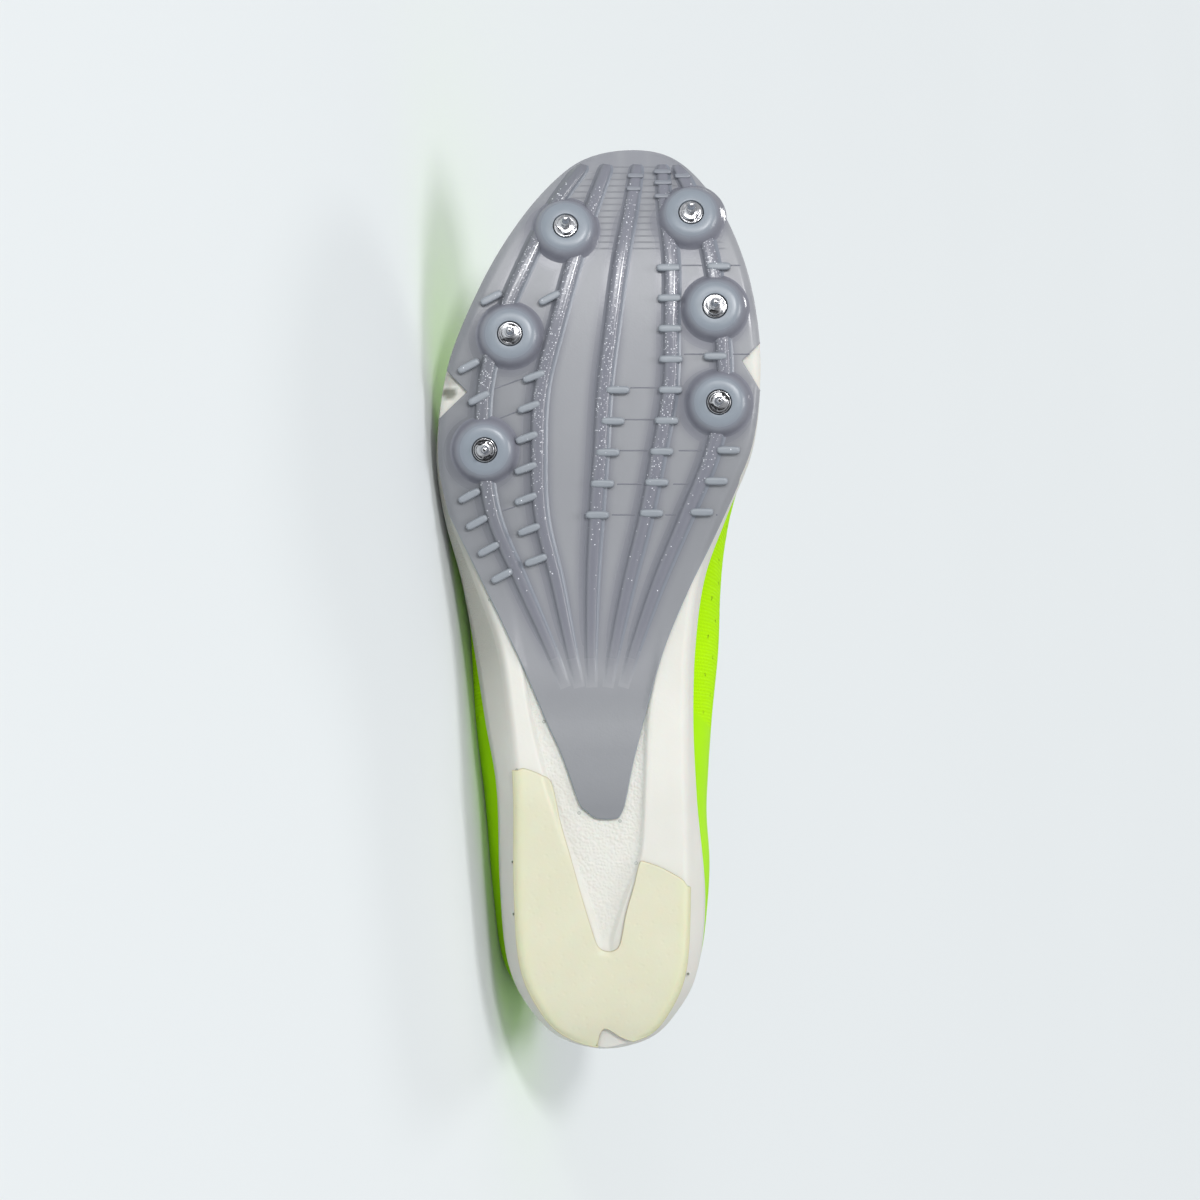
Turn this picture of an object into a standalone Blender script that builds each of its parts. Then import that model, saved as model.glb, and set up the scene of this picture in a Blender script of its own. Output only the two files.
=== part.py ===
"""Track spike running shoe for the right foot, empty and lying on its lateral side.

Metres, +Z up. The pieces are modelled in the shoe's own frame: X from heel to toe, Y towards
the medial side, Z up from the plane that the heel tread touches. An empty then carries them
all into the lying pose, on a floor that touches the sole's lateral rim and presses the soft
upper a little flat beside it.
"""
import math
from collections import namedtuple

import bmesh
import bpy
import numpy as np
from mathutils import Matrix, Vector

# Last and sole
LENGTH = 0.280
BALL_WIDTH = 0.100
TOE_SPRING = 0.0198
HEEL_FOAM = 0.018
RIM_HEIGHT = 0.005
RIM_WIDTH = 0.0025
BED_STEPS = 6
ROLL_RADIUS = 0.0026
ROLL_LIFT = 0.0018
CHANNEL_DEPTH = 0.0018
SIDE_LEDGE = 0.0006

# Upper
INSTEP_HEIGHT = 0.086
WALL = 0.0016
EYESTAY_STEP = 0.0006
COLLAR_PAD = 0.0022
EYELET_DIAMETER = 0.0042
EYELET_PAIRS = 5

# Pieces inside and on top
INSOLE_THICKNESS = 0.003
TONGUE_THICKNESS = 0.003
TONGUE_TOP = 0.016
LACE_WIDTH = 0.0048
LACE_THICKNESS = 0.0012
LACE_STACK = 0.0006
LACE_DIP = 0.0014

# Plate, rubber, sockets and pins
PLATE_THICKNESS = 0.0012
RIB_WIDTH = 0.0044
RIB_HEIGHT = 0.0019
LUG_LENGTH = 0.0074
LUG_WIDTH = 0.0023
LUG_HEIGHT = 0.0024
BOSS_DIAMETER = 0.0200
BOSS_TOP_DIAMETER = 0.0150
BOSS_HEIGHT = 0.0046
SOCKET_DIAMETER = 0.0073
SOCKET_DEPTH = 0.0042
SOCKET_BORE = 0.0046
STUD_LENGTH = 0.0026
FLANGE_DIAMETER = 0.0060
FLANGE_FLATS = 0.0046
FLANGE_HEIGHT = 0.0014
PIN_DIAMETER = 0.0030
PIN_LENGTH = 0.0060
SPIKE_TURN = math.radians(37.0)

# Fits
FIT_GAP = 0.0003
LACE_CLEARANCE = 0.0008
INSOLE_CLEARANCE = 0.0009
TONGUE_CLEARANCE = 0.0010

# Shares of the sole's breadth for its rolled edge and for the channel's soft sides, and the share
# of the plate's thickness that ribs, lugs and bosses sink into it
EDGE_SHARE = 0.05
CHANNEL_SOFT = 0.035
SINK_SHARE = 0.6
RIB_EDGE_MARGIN = 0.0012

# Mesh density
STEPS_PER_ROW = 1.5
TURN_SIDES = 16
PIN_SIDES = 8
PUNCH_SIDES = 6

# The floor that the shoe lies on: its lean to the shoe's side, and how far it presses the heel in
FLOOR_TILT = math.radians(13.0)
FLOOR_PRESS = 0.0010

# One row per section from the heel's centre to the toe tip: where the sole's underside ends on
# each side, as shares of LENGTH (x) and BALL_WIDTH (y), and how far its side flares out.
SoleRow = namedtuple("SoleRow", "lat_x lat_y lat_flare med_x med_y med_flare")
SOLE_ROWS = [
    SoleRow(0.000, 0.015, 0.015, 0.000, 0.015, 0.015),
    SoleRow(0.013, -0.110, 0.022, 0.012, 0.143, 0.020),
    SoleRow(0.043, -0.190, 0.032, 0.040, 0.215, 0.030),
    SoleRow(0.093, -0.250, 0.045, 0.086, 0.267, 0.046),
    SoleRow(0.178, -0.268, 0.052, 0.165, 0.281, 0.055),
    SoleRow(0.286, -0.270, 0.060, 0.272, 0.276, 0.034),
    SoleRow(0.364, -0.288, 0.078, 0.364, 0.274, 0.022),
    SoleRow(0.446, -0.322, 0.080, 0.450, 0.282, 0.022),
    SoleRow(0.521, -0.395, 0.046, 0.525, 0.312, 0.022),
    SoleRow(0.593, -0.470, 0.022, 0.593, 0.382, 0.020),
    SoleRow(0.664, -0.503, 0.008, 0.668, 0.472, 0.008),
    SoleRow(0.757, -0.472, 0.000, 0.757, 0.499, 0.000),
    SoleRow(0.850, -0.367, 0.000, 0.843, 0.472, 0.000),
    SoleRow(0.918, -0.254, 0.000, 0.914, 0.405, 0.000),
    SoleRow(0.966, -0.140, 0.000, 0.964, 0.315, 0.000),
    SoleRow(0.991, -0.040, 0.000, 0.993, 0.215, 0.000),
    SoleRow(1.000, 0.090, 0.000, 1.000, 0.090, 0.000),
]
LAST_ROW = len(SOLE_ROWS) - 1
RING = 2 * LAST_ROW

# The sole's side view, x in shares of LENGTH: underside in shares of TOE_SPRING, foam in shares
# of HEEL_FOAM, and the rim above the bed in shares of RIM_HEIGHT.
SideRow = namedtuple("SideRow", "x underside foam rim")
SIDE_ROWS = [
    SideRow(0.00, 0.35, 0.94, 1.20),
    SideRow(0.03, 0.15, 0.97, 1.20),
    SideRow(0.07, 0.04, 1.00, 1.15),
    SideRow(0.12, 0.00, 1.00, 1.10),
    SideRow(0.27, 0.00, 0.95, 1.05),
    SideRow(0.33, 0.09, 0.86, 1.05),
    SideRow(0.39, 0.23, 0.75, 1.05),
    SideRow(0.46, 0.32, 0.66, 1.00),
    SideRow(0.54, 0.30, 0.58, 0.95),
    SideRow(0.61, 0.24, 0.52, 0.90),
    SideRow(0.68, 0.20, 0.47, 0.85),
    SideRow(0.75, 0.23, 0.43, 0.80),
    SideRow(0.82, 0.32, 0.38, 0.80),
    SideRow(0.89, 0.50, 0.33, 0.80),
    SideRow(0.96, 0.79, 0.29, 0.80),
    SideRow(1.00, 1.00, 0.27, 0.80),
]

# The foam's side: shares of its height, of its flare, and of the ledge's depth
SIDE_PROFILE = [(0.0, 0.0, 0.0), (0.42, 0.80, 0.0), (0.46, 0.86, 1.0), (0.92, 1.0, 1.0)]
LIP_SHARE = 0.35

# The sunk channel around the plate's tail, x in shares of LENGTH: its two edges in shares of the
# sole's breadth from the lateral side, and its depth in shares of CHANNEL_DEPTH.
ChannelRow = namedtuple("ChannelRow", "x lateral medial depth")
CHANNEL_ROWS = [
    ChannelRow(0.00, 0.42, 0.62, 0.0),
    ChannelRow(0.10, 0.46, 0.58, 0.0),
    ChannelRow(0.12, 0.46, 0.57, 0.7),
    ChannelRow(0.165, 0.40, 0.64, 1.0),
    ChannelRow(0.215, 0.31, 0.73, 1.0),
    ChannelRow(0.286, 0.19, 0.76, 1.0),
    ChannelRow(0.364, 0.12, 0.79, 0.9),
    ChannelRow(0.43, 0.10, 0.84, 0.5),
    ChannelRow(0.50, 0.12, 0.86, 0.0),
    ChannelRow(1.00, 0.25, 0.75, 0.0),
]

# One row per section, at the sole's rows: the collar and throat line, x in shares of LENGTH, y of
# BALL_WIDTH and z of INSTEP_HEIGHT, and the wall's swell. A bulge is in shares of BALL_WIDTH,
# lift and reach are in shares of INSTEP_HEIGHT, and crown is the wall's slope at its top edge.
UpperRow = namedtuple(
    "UpperRow", "top_x lat_y lat_z med_y med_z lat_bulge med_bulge lift reach crown")
UPPER_ROWS = [
    UpperRow(0.024, 0.015, 0.86, 0.015, 0.86, 0.045, 0.045, 0.24, 0.22, 82),
    UpperRow(0.034, -0.080, 0.85, 0.108, 0.85, 0.05, 0.05, 0.24, 0.22, 81),
    UpperRow(0.057, -0.160, 0.83, 0.188, 0.83, 0.06, 0.06, 0.24, 0.22, 78),
    UpperRow(0.104, -0.212, 0.78, 0.240, 0.79, 0.10, 0.07, 0.23, 0.22, 76),
    UpperRow(0.172, -0.240, 0.715, 0.265, 0.735, 0.12, 0.08, 0.22, 0.22, 74),
    UpperRow(0.250, -0.250, 0.695, 0.275, 0.715, 0.16, 0.13, 0.22, 0.24, 72),
    UpperRow(0.314, -0.238, 0.745, 0.272, 0.765, 0.15, 0.19, 0.22, 0.28, 68),
    UpperRow(0.362, -0.206, 0.87, 0.248, 0.89, 0.11, 0.23, 0.22, 0.32, 58),
    UpperRow(0.402, -0.172, 0.965, 0.214, 0.985, 0.07, 0.20, 0.21, 0.34, 46),
    UpperRow(0.450, -0.147, 0.925, 0.187, 0.945, 0.05, 0.11, 0.20, 0.36, 38),
    UpperRow(0.497, -0.127, 0.86, 0.167, 0.88, 0.04, 0.05, 0.20, 0.38, 34),
    UpperRow(0.540, -0.110, 0.795, 0.150, 0.815, 0.03, 0.03, 0.20, 0.42, 31),
    UpperRow(0.575, -0.090, 0.745, 0.130, 0.76, 0.02, 0.01, 0.22, 0.48, 28),
    UpperRow(0.600, -0.064, 0.71, 0.104, 0.72, 0.01, 0.01, 0.24, 0.52, 25),
    UpperRow(0.615, -0.034, 0.69, 0.074, 0.695, 0.01, 0.01, 0.26, 0.56, 22),
    UpperRow(0.622, -0.006, 0.682, 0.046, 0.684, 0.01, 0.01, 0.27, 0.58, 20),
    UpperRow(0.624, 0.020, 0.68, 0.020, 0.68, 0.01, 0.01, 0.27, 0.58, 20),
]
BASE_SHARE = 0.10
EYESTAY_SHARE = 0.83
WALL_SHARES = [0.0, BASE_SHARE, 0.21, 0.34, 0.48, 0.62, 0.74, EYESTAY_SHARE, 0.84, 1.0]
LINING_SHARES = [0.0, BASE_SHARE, 0.25, 0.42, 0.60, 0.75, 0.87, 1.0]
COLLAR_LAST_ROW = 7.0
THROAT_FIRST_ROW = 8.0

# Where the throat's pieces reach: shares of the wall's height under the edge and at the eyelets
TONGUE_EDGE_SHARE = 0.87
EYELET_SHARE = 0.93
THROAT_SIDE = 0.25
EYELET_FIRST_ROW = 8.45
EYELET_LAST_ROW = 12.9

# The plate's outline where it leaves the sole's own edge: shares of LENGTH and BALL_WIDTH
PLATE_CUT = [
    (0.696, -0.60), (0.699, -0.496), (0.7275, -0.413), (0.751, -0.476), (0.753, -0.60),
    (1.05, -0.60), (1.05, 0.60),
    (0.787, 0.60), (0.782, 0.498), (0.762, 0.441), (0.729, 0.498), (0.727, 0.60),
    (0.640, 0.60), (0.625, 0.430), (0.590, 0.386), (0.552, 0.336), (0.515, 0.284),
    (0.472, 0.231), (0.437, 0.194), (0.389, 0.155), (0.322, 0.107), (0.276, 0.080),
    (0.260, 0.066), (0.254, 0.036), (0.254, -0.002), (0.262, -0.047), (0.271, -0.070),
    (0.324, -0.118), (0.362, -0.167), (0.407, -0.220), (0.437, -0.258), (0.493, -0.333),
    (0.547, -0.408), (0.592, -0.470), (0.610, -0.60),
]

# The heel rubber's outline where it leaves the sole's own edge: its fish-mouth and back notch
RUBBER_CUT = [
    (-0.05, -0.60), (0.309, -0.60), (0.309, -0.255), (0.311, -0.235), (0.304, -0.182),
    (0.294, -0.149), (0.252, -0.122), (0.215, -0.092), (0.167, -0.054), (0.124, -0.017),
    (0.113, -0.002), (0.109, 0.020), (0.110, 0.043), (0.118, 0.062), (0.151, 0.080),
    (0.180, 0.103), (0.207, 0.122), (0.208, 0.140), (0.201, 0.193), (0.189, 0.253),
    (0.181, 0.271), (0.178, 0.60), (-0.05, 0.60), (-0.05, 0.103),
    (0.007, 0.103), (0.012, 0.066), (0.022, 0.020), (0.017, 0.002), (0.001, -0.009),
    (-0.05, -0.012),
]

# The five ribs' centre lines, x in shares of LENGTH and y in shares of BALL_WIDTH, and their
# height and width in shares of RIB_HEIGHT and RIB_WIDTH.
RibRow = namedtuple("RibRow", "x first second third fourth fifth height width")
RIB_ROWS = [
    RibRow(0.983, -0.050, 0.023, 0.116, 0.194, 0.240, 0.80, 0.80),
    RibRow(0.936, -0.142, -0.025, 0.096, 0.201, 0.300, 0.90, 0.90),
    RibRow(0.875, -0.226, -0.080, 0.064, 0.221, 0.345, 1.00, 1.00),
    RibRow(0.804, -0.309, -0.134, 0.037, 0.220, 0.374, 1.00, 1.00),
    RibRow(0.732, -0.359, -0.183, 0.012, 0.215, 0.383, 1.00, 1.00),
    RibRow(0.661, -0.362, -0.193, 0.000, 0.180, 0.346, 1.00, 1.00),
    RibRow(0.589, -0.332, -0.184, -0.014, 0.139, 0.264, 0.90, 0.95),
    RibRow(0.518, -0.247, -0.136, -0.025, 0.089, 0.181, 0.70, 0.85),
    RibRow(0.446, -0.158, -0.093, -0.028, 0.046, 0.110, 0.45, 0.70),
    RibRow(0.395, -0.100, -0.060, -0.025, 0.022, 0.068, -0.10, 0.55),
]
RIB_NAMES = ["first", "second", "third", "fourth", "fifth"]

# Runs of cross lugs: the rib they sit on, the first one's x and the pitch in shares of LENGTH,
# their number, and the first and last one's place beside the rib in shares of BALL_WIDTH.
LugRun = namedtuple("LugRun", "rib x pitch count first_offset last_offset tilt")
LUG_RUNS = [
    LugRun("first", 0.832, 0.0, 1, -0.058, -0.058, 28),
    LugRun("first", 0.756, 0.0354, 2, -0.060, -0.012, 28),
    LugRun("first", 0.6125, 0.0296, 4, -0.058, -0.050, 28),
    LugRun("second", 0.832, 0.0, 1, -0.043, -0.043, 28),
    LugRun("second", 0.7446, 0.0339, 7, -0.028, -0.046, 20),
    LugRun("third", 0.7296, 0.0346, 5, 0.044, 0.005, 0),
    LugRun("fourth", 0.866, 0.0341, 9, -0.010, 0.018, 0),
    LugRun("fifth", 0.8675, 0.0, 1, 0.020, 0.020, 0),
    LugRun("fifth", 0.767, 0.0, 1, -0.025, -0.025, 0),
    LugRun("fifth", 0.663, 0.0343, 3, 0.050, 0.045, 0),
]

# Centres of the six bosses, in shares of LENGTH and BALL_WIDTH
BOSSES = [
    (0.908, -0.107), (0.790, -0.279), (0.663, -0.357),
    (0.923, 0.283), (0.820, 0.356), (0.715, 0.368),
]


def start_empty():
    """Remove whatever the file holds."""
    for thing in list(bpy.data.objects):
        bpy.data.objects.remove(thing, do_unlink=True)


def smooth(share):
    """Soft step from 0 to 1."""
    share = min(max(share, 0.0), 1.0)
    return share * share * (3.0 - 2.0 * share)


def catmull(before, start, end, after, u):
    """Point of the smooth curve between start and end."""
    return 0.5 * (2.0 * start + (end - before) * u
                  + (2.0 * before - 5.0 * start + 4.0 * end - after) * u * u
                  + (3.0 * start - before - 3.0 * end + after) * u * u * u)


def ring_value(values, station):
    """Smooth value around the shoe; station runs 0..LAST_ROW on the lateral side and back."""
    station = station % RING
    i = int(station)
    picks = [float(values[(i + step) % RING]) for step in (-1, 0, 1, 2)]
    return catmull(*picks, station - i)


def table_value(rows, column, x_share):
    """Value of a table's column at a share of the length, smooth between its rows."""
    shares = [row.x for row in rows]
    values = [getattr(row, column) for row in rows]
    if shares[0] > shares[-1]:
        shares.reverse()
        values.reverse()
    x_share = min(max(x_share, shares[0]), shares[-1])
    i = max(k for k in range(len(shares) - 1) if shares[k] <= x_share)
    u = (x_share - shares[i]) / (shares[i + 1] - shares[i])
    return values[i] + (values[i + 1] - values[i]) * smooth(u) if column == "depth" else (
        cubic_between(shares, values, i, u))


def cubic_between(shares, values, i, u):
    """Smooth value between uneven rows, with each row's slope from its neighbours."""
    def slope(k):
        low = max(k - 1, 0)
        high = min(k + 1, len(shares) - 1)
        return (values[high] - values[low]) / (shares[high] - shares[low])
    width = shares[i + 1] - shares[i]
    a = values[i]
    b = values[i + 1]
    return (a * (1.0 - u) ** 2 * (1.0 + 2.0 * u) + b * u * u * (3.0 - 2.0 * u)
            + width * u * (1.0 - u) * (slope(i) * (1.0 - u) - slope(i + 1) * u))


def ring_of(rows, lateral, medial, unit):
    """Values around the shoe from a table's lateral and medial columns."""
    out = [getattr(row, lateral) for row in rows]
    back = [getattr(row, medial) for row in rows[-2:0:-1]]
    return np.array(out + back) * unit


OUTLINE_X = ring_of(SOLE_ROWS, "lat_x", "med_x", LENGTH)
OUTLINE_Y = ring_of(SOLE_ROWS, "lat_y", "med_y", BALL_WIDTH)
FLARE = ring_of(SOLE_ROWS, "lat_flare", "med_flare", BALL_WIDTH)
TOP_X = ring_of(UPPER_ROWS, "top_x", "top_x", LENGTH)
TOP_Y = ring_of(UPPER_ROWS, "lat_y", "med_y", BALL_WIDTH)
TOP_Z = ring_of(UPPER_ROWS, "lat_z", "med_z", INSTEP_HEIGHT)
BULGE = ring_of(UPPER_ROWS, "lat_bulge", "med_bulge", BALL_WIDTH)
LIFT = ring_of(UPPER_ROWS, "lift", "lift", INSTEP_HEIGHT)
REACH = ring_of(UPPER_ROWS, "reach", "reach", INSTEP_HEIGHT)
CROWN = ring_of(UPPER_ROWS, "crown", "crown", math.pi / 180.0)


def outline(station, outset=0.0):
    """Point of the sole's edge, moved out square to it."""
    step = 0.02
    x = ring_value(OUTLINE_X, station)
    y = ring_value(OUTLINE_Y, station)
    dx = ring_value(OUTLINE_X, station + step) - ring_value(OUTLINE_X, station - step)
    dy = ring_value(OUTLINE_Y, station + step) - ring_value(OUTLINE_Y, station - step)
    size = math.hypot(dx, dy)
    return Vector((x + dy / size * outset, y - dx / size * outset, 0.0))


EDGE_STATIONS = [k / 4.0 for k in range(4 * LAST_ROW + 1)]
LATERAL_EDGE = [outline(k) for k in EDGE_STATIONS]
MEDIAL_EDGE = [outline(RING - k) for k in EDGE_STATIONS]


def edge_y(edge, x):
    """Where one side's edge lies at a place along the shoe."""
    return float(np.interp(x, [p.x for p in edge], [p.y for p in edge]))


def tread(x):
    """Height of the sole's lowest line, flat under the heel."""
    return max(table_value(SIDE_ROWS, "underside", x / LENGTH), 0.0) * TOE_SPRING


def underside(x, y):
    """Height of the sole's tread surface."""
    lateral = edge_y(LATERAL_EDGE, x)
    medial = edge_y(MEDIAL_EDGE, x)
    share = x / LENGTH
    height = tread(x)
    breadth = max(medial - lateral, 1e-6)
    across = (y - lateral) / breadth
    low = table_value(CHANNEL_ROWS, "lateral", share)
    high = table_value(CHANNEL_ROWS, "medial", share)
    inside = smooth((across - low) / CHANNEL_SOFT) * smooth((high - across) / CHANNEL_SOFT)
    height += table_value(CHANNEL_ROWS, "depth", share) * CHANNEL_DEPTH * inside
    from_edge = min(y - lateral, medial - y)
    roll = min(max(1.0 - from_edge / ROLL_RADIUS, 0.0), 1.0)
    return height + ROLL_LIFT * roll * roll


def bed(x):
    """Height of the footbed that the upper and the insole stand on."""
    foam = table_value(SIDE_ROWS, "foam", x / LENGTH) * HEEL_FOAM
    return tread(x) + PLATE_THICKNESS + FIT_GAP + foam


def rim_top(x):
    """Height of the midsole's rim around the upper."""
    return bed(x) + table_value(SIDE_ROWS, "rim", x / LENGTH) * RIM_HEIGHT


def columns(x):
    """Shares across the sole, closer at the edges and at the channel's sides."""
    share = x / LENGTH
    edge = EDGE_SHARE
    low = max(table_value(CHANNEL_ROWS, "lateral", share), 1.5 * edge)
    high = min(table_value(CHANNEL_ROWS, "medial", share), 1.0 - 2.0 * edge)
    middle = (low + high) / 2.0
    return [0.0, edge, low, low + CHANNEL_SOFT, middle, high - CHANNEL_SOFT, high, 1.0 - edge, 1.0]


def rung(row, share, outset=0.0):
    """Point on the line across the shoe from the lateral to the medial edge at one row."""
    lateral = outline(row, outset)
    medial = outline(RING - row, outset)
    return lateral.lerp(medial, share)


def sole_side(station):
    """The foam side's points from the tread edge over its ledge and rim down to the bed."""
    edge = outline(station)
    flare = ring_value(FLARE, station)
    low = underside(edge.x, edge.y) + PLATE_THICKNESS + FIT_GAP
    high = rim_top(outline(station, flare).x)
    points = []
    for up, out, step in SIDE_PROFILE:
        p = outline(station, flare * out - step * SIDE_LEDGE)
        points.append(Vector((p.x, p.y, low + (high - low) * up)))
    lip = outline(station, flare - SIDE_LEDGE - LIP_SHARE * RIM_WIDTH)
    inner = outline(station, flare - RIM_WIDTH)
    points.append(Vector((lip.x, lip.y, high)))
    points.append(Vector((inner.x, inner.y, high)))
    points.append(Vector((inner.x, inner.y, bed(inner.x))))
    return points


def feather_inset(station):
    """How far the upper's foot lies inside the sole's edge, negative where the side flares."""
    return ring_value(FLARE, station) - RIM_WIDTH - FIT_GAP


def free_form(station, share):
    """Point of the upper's outer form: an upright foot inside the rim, then the last's swell."""
    foot = outline(station, feather_inset(station))
    low = Vector((foot.x, foot.y, bed(foot.x) + FIT_GAP))
    start = Vector((foot.x, foot.y, rim_top(foot.x) + FIT_GAP))
    if share <= BASE_SHARE:
        return low.lerp(start, share / BASE_SHARE)
    top = Vector((ring_value(TOP_X, station), ring_value(TOP_Y, station),
                  ring_value(TOP_Z, station)))
    outward = (outline(station, 0.001) - outline(station)).normalized()
    swell = start + Vector((0.0, 0.0, ring_value(LIFT, station)))
    swell += outward * ring_value(BULGE, station)
    side = Vector((foot.x - top.x, foot.y - top.y, 0.0)).normalized()
    crown = ring_value(CROWN, station)
    hold = top + ring_value(REACH, station) * (
        side * math.cos(crown) - Vector((0.0, 0.0, math.sin(crown))))
    t = (share - BASE_SHARE) / (1.0 - BASE_SHARE)
    s = 1.0 - t
    return start * s ** 3 + swell * 3 * s * s * t + hold * 3 * s * t * t + top * t ** 3


def floor_up(yaw):
    """Direction straight up from the floor, in the shoe's frame."""
    level = math.cos(FLOOR_TILT)
    return Vector((math.sin(yaw) * level, math.cos(yaw) * level, -math.sin(FLOOR_TILT)))


def find_floor():
    """The floor's up direction and its distance: it touches the sole and presses the heel in."""
    rim = [p for k in range(2 * LAST_ROW) for p in sole_side(k / 2.0)]
    heel = [free_form(k / 2.0, share) for k in range(4, 13) for share in (0.2, 0.3, 0.4, 0.5, 0.6)]
    low = math.radians(-10.0)
    high = math.radians(25.0)
    for _ in range(30):
        up = floor_up((low + high) / 2.0)
        reach = max(-up.dot(p) for p in rim)
        if max(-up.dot(p) for p in heel) - reach > FLOOR_PRESS:
            high = (low + high) / 2.0
        else:
            low = (low + high) / 2.0
    return up, reach


FLOOR_UP, FLOOR_REACH = find_floor()


def form(station, share):
    """Point of the upper's outer form, pressed flat where the shoe lies on it."""
    p = free_form(station, share)
    return p + FLOOR_UP * max(-FLOOR_UP.dot(p) - FLOOR_REACH, 0.0)


def form_normal(station, share):
    """Outward normal of the upper's form."""
    step = 0.01
    low = max(share - step, 0.0)
    high = min(share + step, 1.0)
    along = form(station + 0.05, share) - form(station - 0.05, share)
    up = form(station, high) - form(station, low)
    return along.cross(up).normalized()


def row_of(station):
    """Row number of a station on either side."""
    station = station % RING
    return min(station, RING - station)


def skin(station, share, offset=0.0):
    """Point of the upper's outer face, with the eyestay's step, moved out by an offset."""
    step = 0.0
    if share > EYESTAY_SHARE + 0.001:
        step = EYESTAY_STEP * smooth(row_of(station) - (COLLAR_LAST_ROW - 0.5))
    return form(station, share) + form_normal(station, share) * (step + offset)


def lining(station, share, offset=0.0):
    """Point of the upper's inner face, with the padded collar, moved in by an offset."""
    pad = COLLAR_PAD * smooth((share - 0.72) / 0.2)
    pad *= 1.0 - smooth((row_of(station) - COLLAR_LAST_ROW + 2.0) / 2.0)
    return form(station, share) - form_normal(station, share) * (WALL + pad + offset)


def throat(row, share, offset):
    """Point of the sheet that follows the upper's wall at the throat and bridges it.

    share runs from 0 under the lateral edge to 1 under the medial edge; offset is out from the
    wall's outer face, and less than minus its thickness for what lies under it.
    """
    def wall_point(station, wall_share):
        if offset < 0.0:
            return lining(station, wall_share, -offset - WALL)
        return skin(station, wall_share, offset)
    if share < THROAT_SIDE:
        up = share / THROAT_SIDE
        return wall_point(row, TONGUE_EDGE_SHARE + (1.0 - TONGUE_EDGE_SHARE) * up)
    if share > 1.0 - THROAT_SIDE:
        up = (1.0 - share) / THROAT_SIDE
        return wall_point(RING - row, TONGUE_EDGE_SHARE + (1.0 - TONGUE_EDGE_SHARE) * up)
    start = wall_point(row, 1.0)
    end = wall_point(RING - row, 1.0)
    span = (end - start).length
    rise = (start - wall_point(row, 0.96)).normalized() * span
    fall = (wall_point(RING - row, 0.96) - end).normalized() * span
    t = (share - THROAT_SIDE) / (1.0 - 2.0 * THROAT_SIDE)
    return (start * (2 * t ** 3 - 3 * t * t + 1) + rise * (t ** 3 - 2 * t * t + t)
            + end * (3 * t * t - 2 * t ** 3) + fall * (t ** 3 - t * t))


def mesh_object(name, points, faces, paint):
    """One closed object from points and faces, welded and facing out."""
    mesh = bpy.data.meshes.new(name)
    mesh.from_pydata([tuple(p) for p in points], [], faces)
    work = bmesh.new()
    work.from_mesh(mesh)
    bmesh.ops.remove_doubles(work, verts=work.verts, dist=1e-6)
    bmesh.ops.dissolve_degenerate(work, edges=work.edges, dist=1e-7)
    bmesh.ops.triangulate(work, faces=work.faces, quad_method="SHORT_EDGE")
    bmesh.ops.recalc_face_normals(work, faces=work.faces)
    if work.calc_volume(signed=True) < 0.0:
        bmesh.ops.reverse_faces(work, faces=work.faces)
    work.to_mesh(mesh)
    work.free()
    thing = bpy.data.objects.new(name, mesh)
    bpy.context.scene.collection.objects.link(thing)
    if paint is not None:
        mesh.materials.append(paint)
    return thing


def grid_faces(across, along, offset=0, closed=False):
    """Quads between rows of a grid of points."""
    faces = []
    for i in range(along - 1):
        for j in range(across if closed else across - 1):
            k = (j + 1) % across
            faces.append((offset + i * across + j, offset + i * across + k,
                          offset + (i + 1) * across + k, offset + (i + 1) * across + j))
    return faces


def slab(name, lower, upper, paint, folded=False):
    """Closed sheet between two equal grids of points.

    A row may close to a point, and a folded last row lies on itself and needs no edge.
    """
    across = len(lower[0])
    along = len(lower)
    points = [p for row in lower for p in row] + [p for row in upper for p in row]
    half = across * along
    faces = grid_faces(across, along) + [f[::-1] for f in grid_faces(across, along, half)]
    rim = [i * across for i in range(along)]
    rim += [(along - 1) * across + j for j in range(1, across)]
    rim += [i * across + across - 1 for i in range(along - 2, -1, -1)]
    rim += [j for j in range(across - 2, 0, -1)]
    for a, b in zip(rim, rim[1:] + rim[:1]):
        if not (folded and min(a, b) >= half - across):
            faces.append((a, b, b + half, a + half))
    return mesh_object(name, points, faces, paint)


def combine(target, tool, operation):
    """Apply one boolean to the target's mesh and remove the tool."""
    step = target.modifiers.new("step", "BOOLEAN")
    step.operation = operation
    step.solver = "EXACT"
    step.object = tool
    depsgraph = bpy.context.evaluated_depsgraph_get()
    result = bpy.data.meshes.new_from_object(target.evaluated_get(depsgraph))
    target.modifiers.clear()
    old = target.data
    target.data = result
    result.name = target.name
    bpy.data.meshes.remove(old)
    tool_mesh = tool.data
    bpy.data.objects.remove(tool, do_unlink=True)
    bpy.data.meshes.remove(tool_mesh)


def principled(name, colour, roughness, metallic=0.0):
    """Principled material for one sub-part."""
    made = bpy.data.materials.new(name)
    made.use_nodes = True
    shader = made.node_tree.nodes["Principled BSDF"]
    shader.inputs["Base Color"].default_value = (*colour, 1.0)
    shader.inputs["Roughness"].default_value = roughness
    shader.inputs["Metallic"].default_value = metallic
    return made


def shade(thing, angle=35.0):
    """Smooth shading with sharp edges kept."""
    thing.data.shade_smooth()
    thing.data.set_sharp_from_angle(angle=math.radians(angle))


def rows_along(first, last, steps):
    """Row numbers from first to last."""
    count = max(int(round((last - first) * steps)), 1)
    return [first + (last - first) * k / count for k in range(count + 1)]


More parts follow.
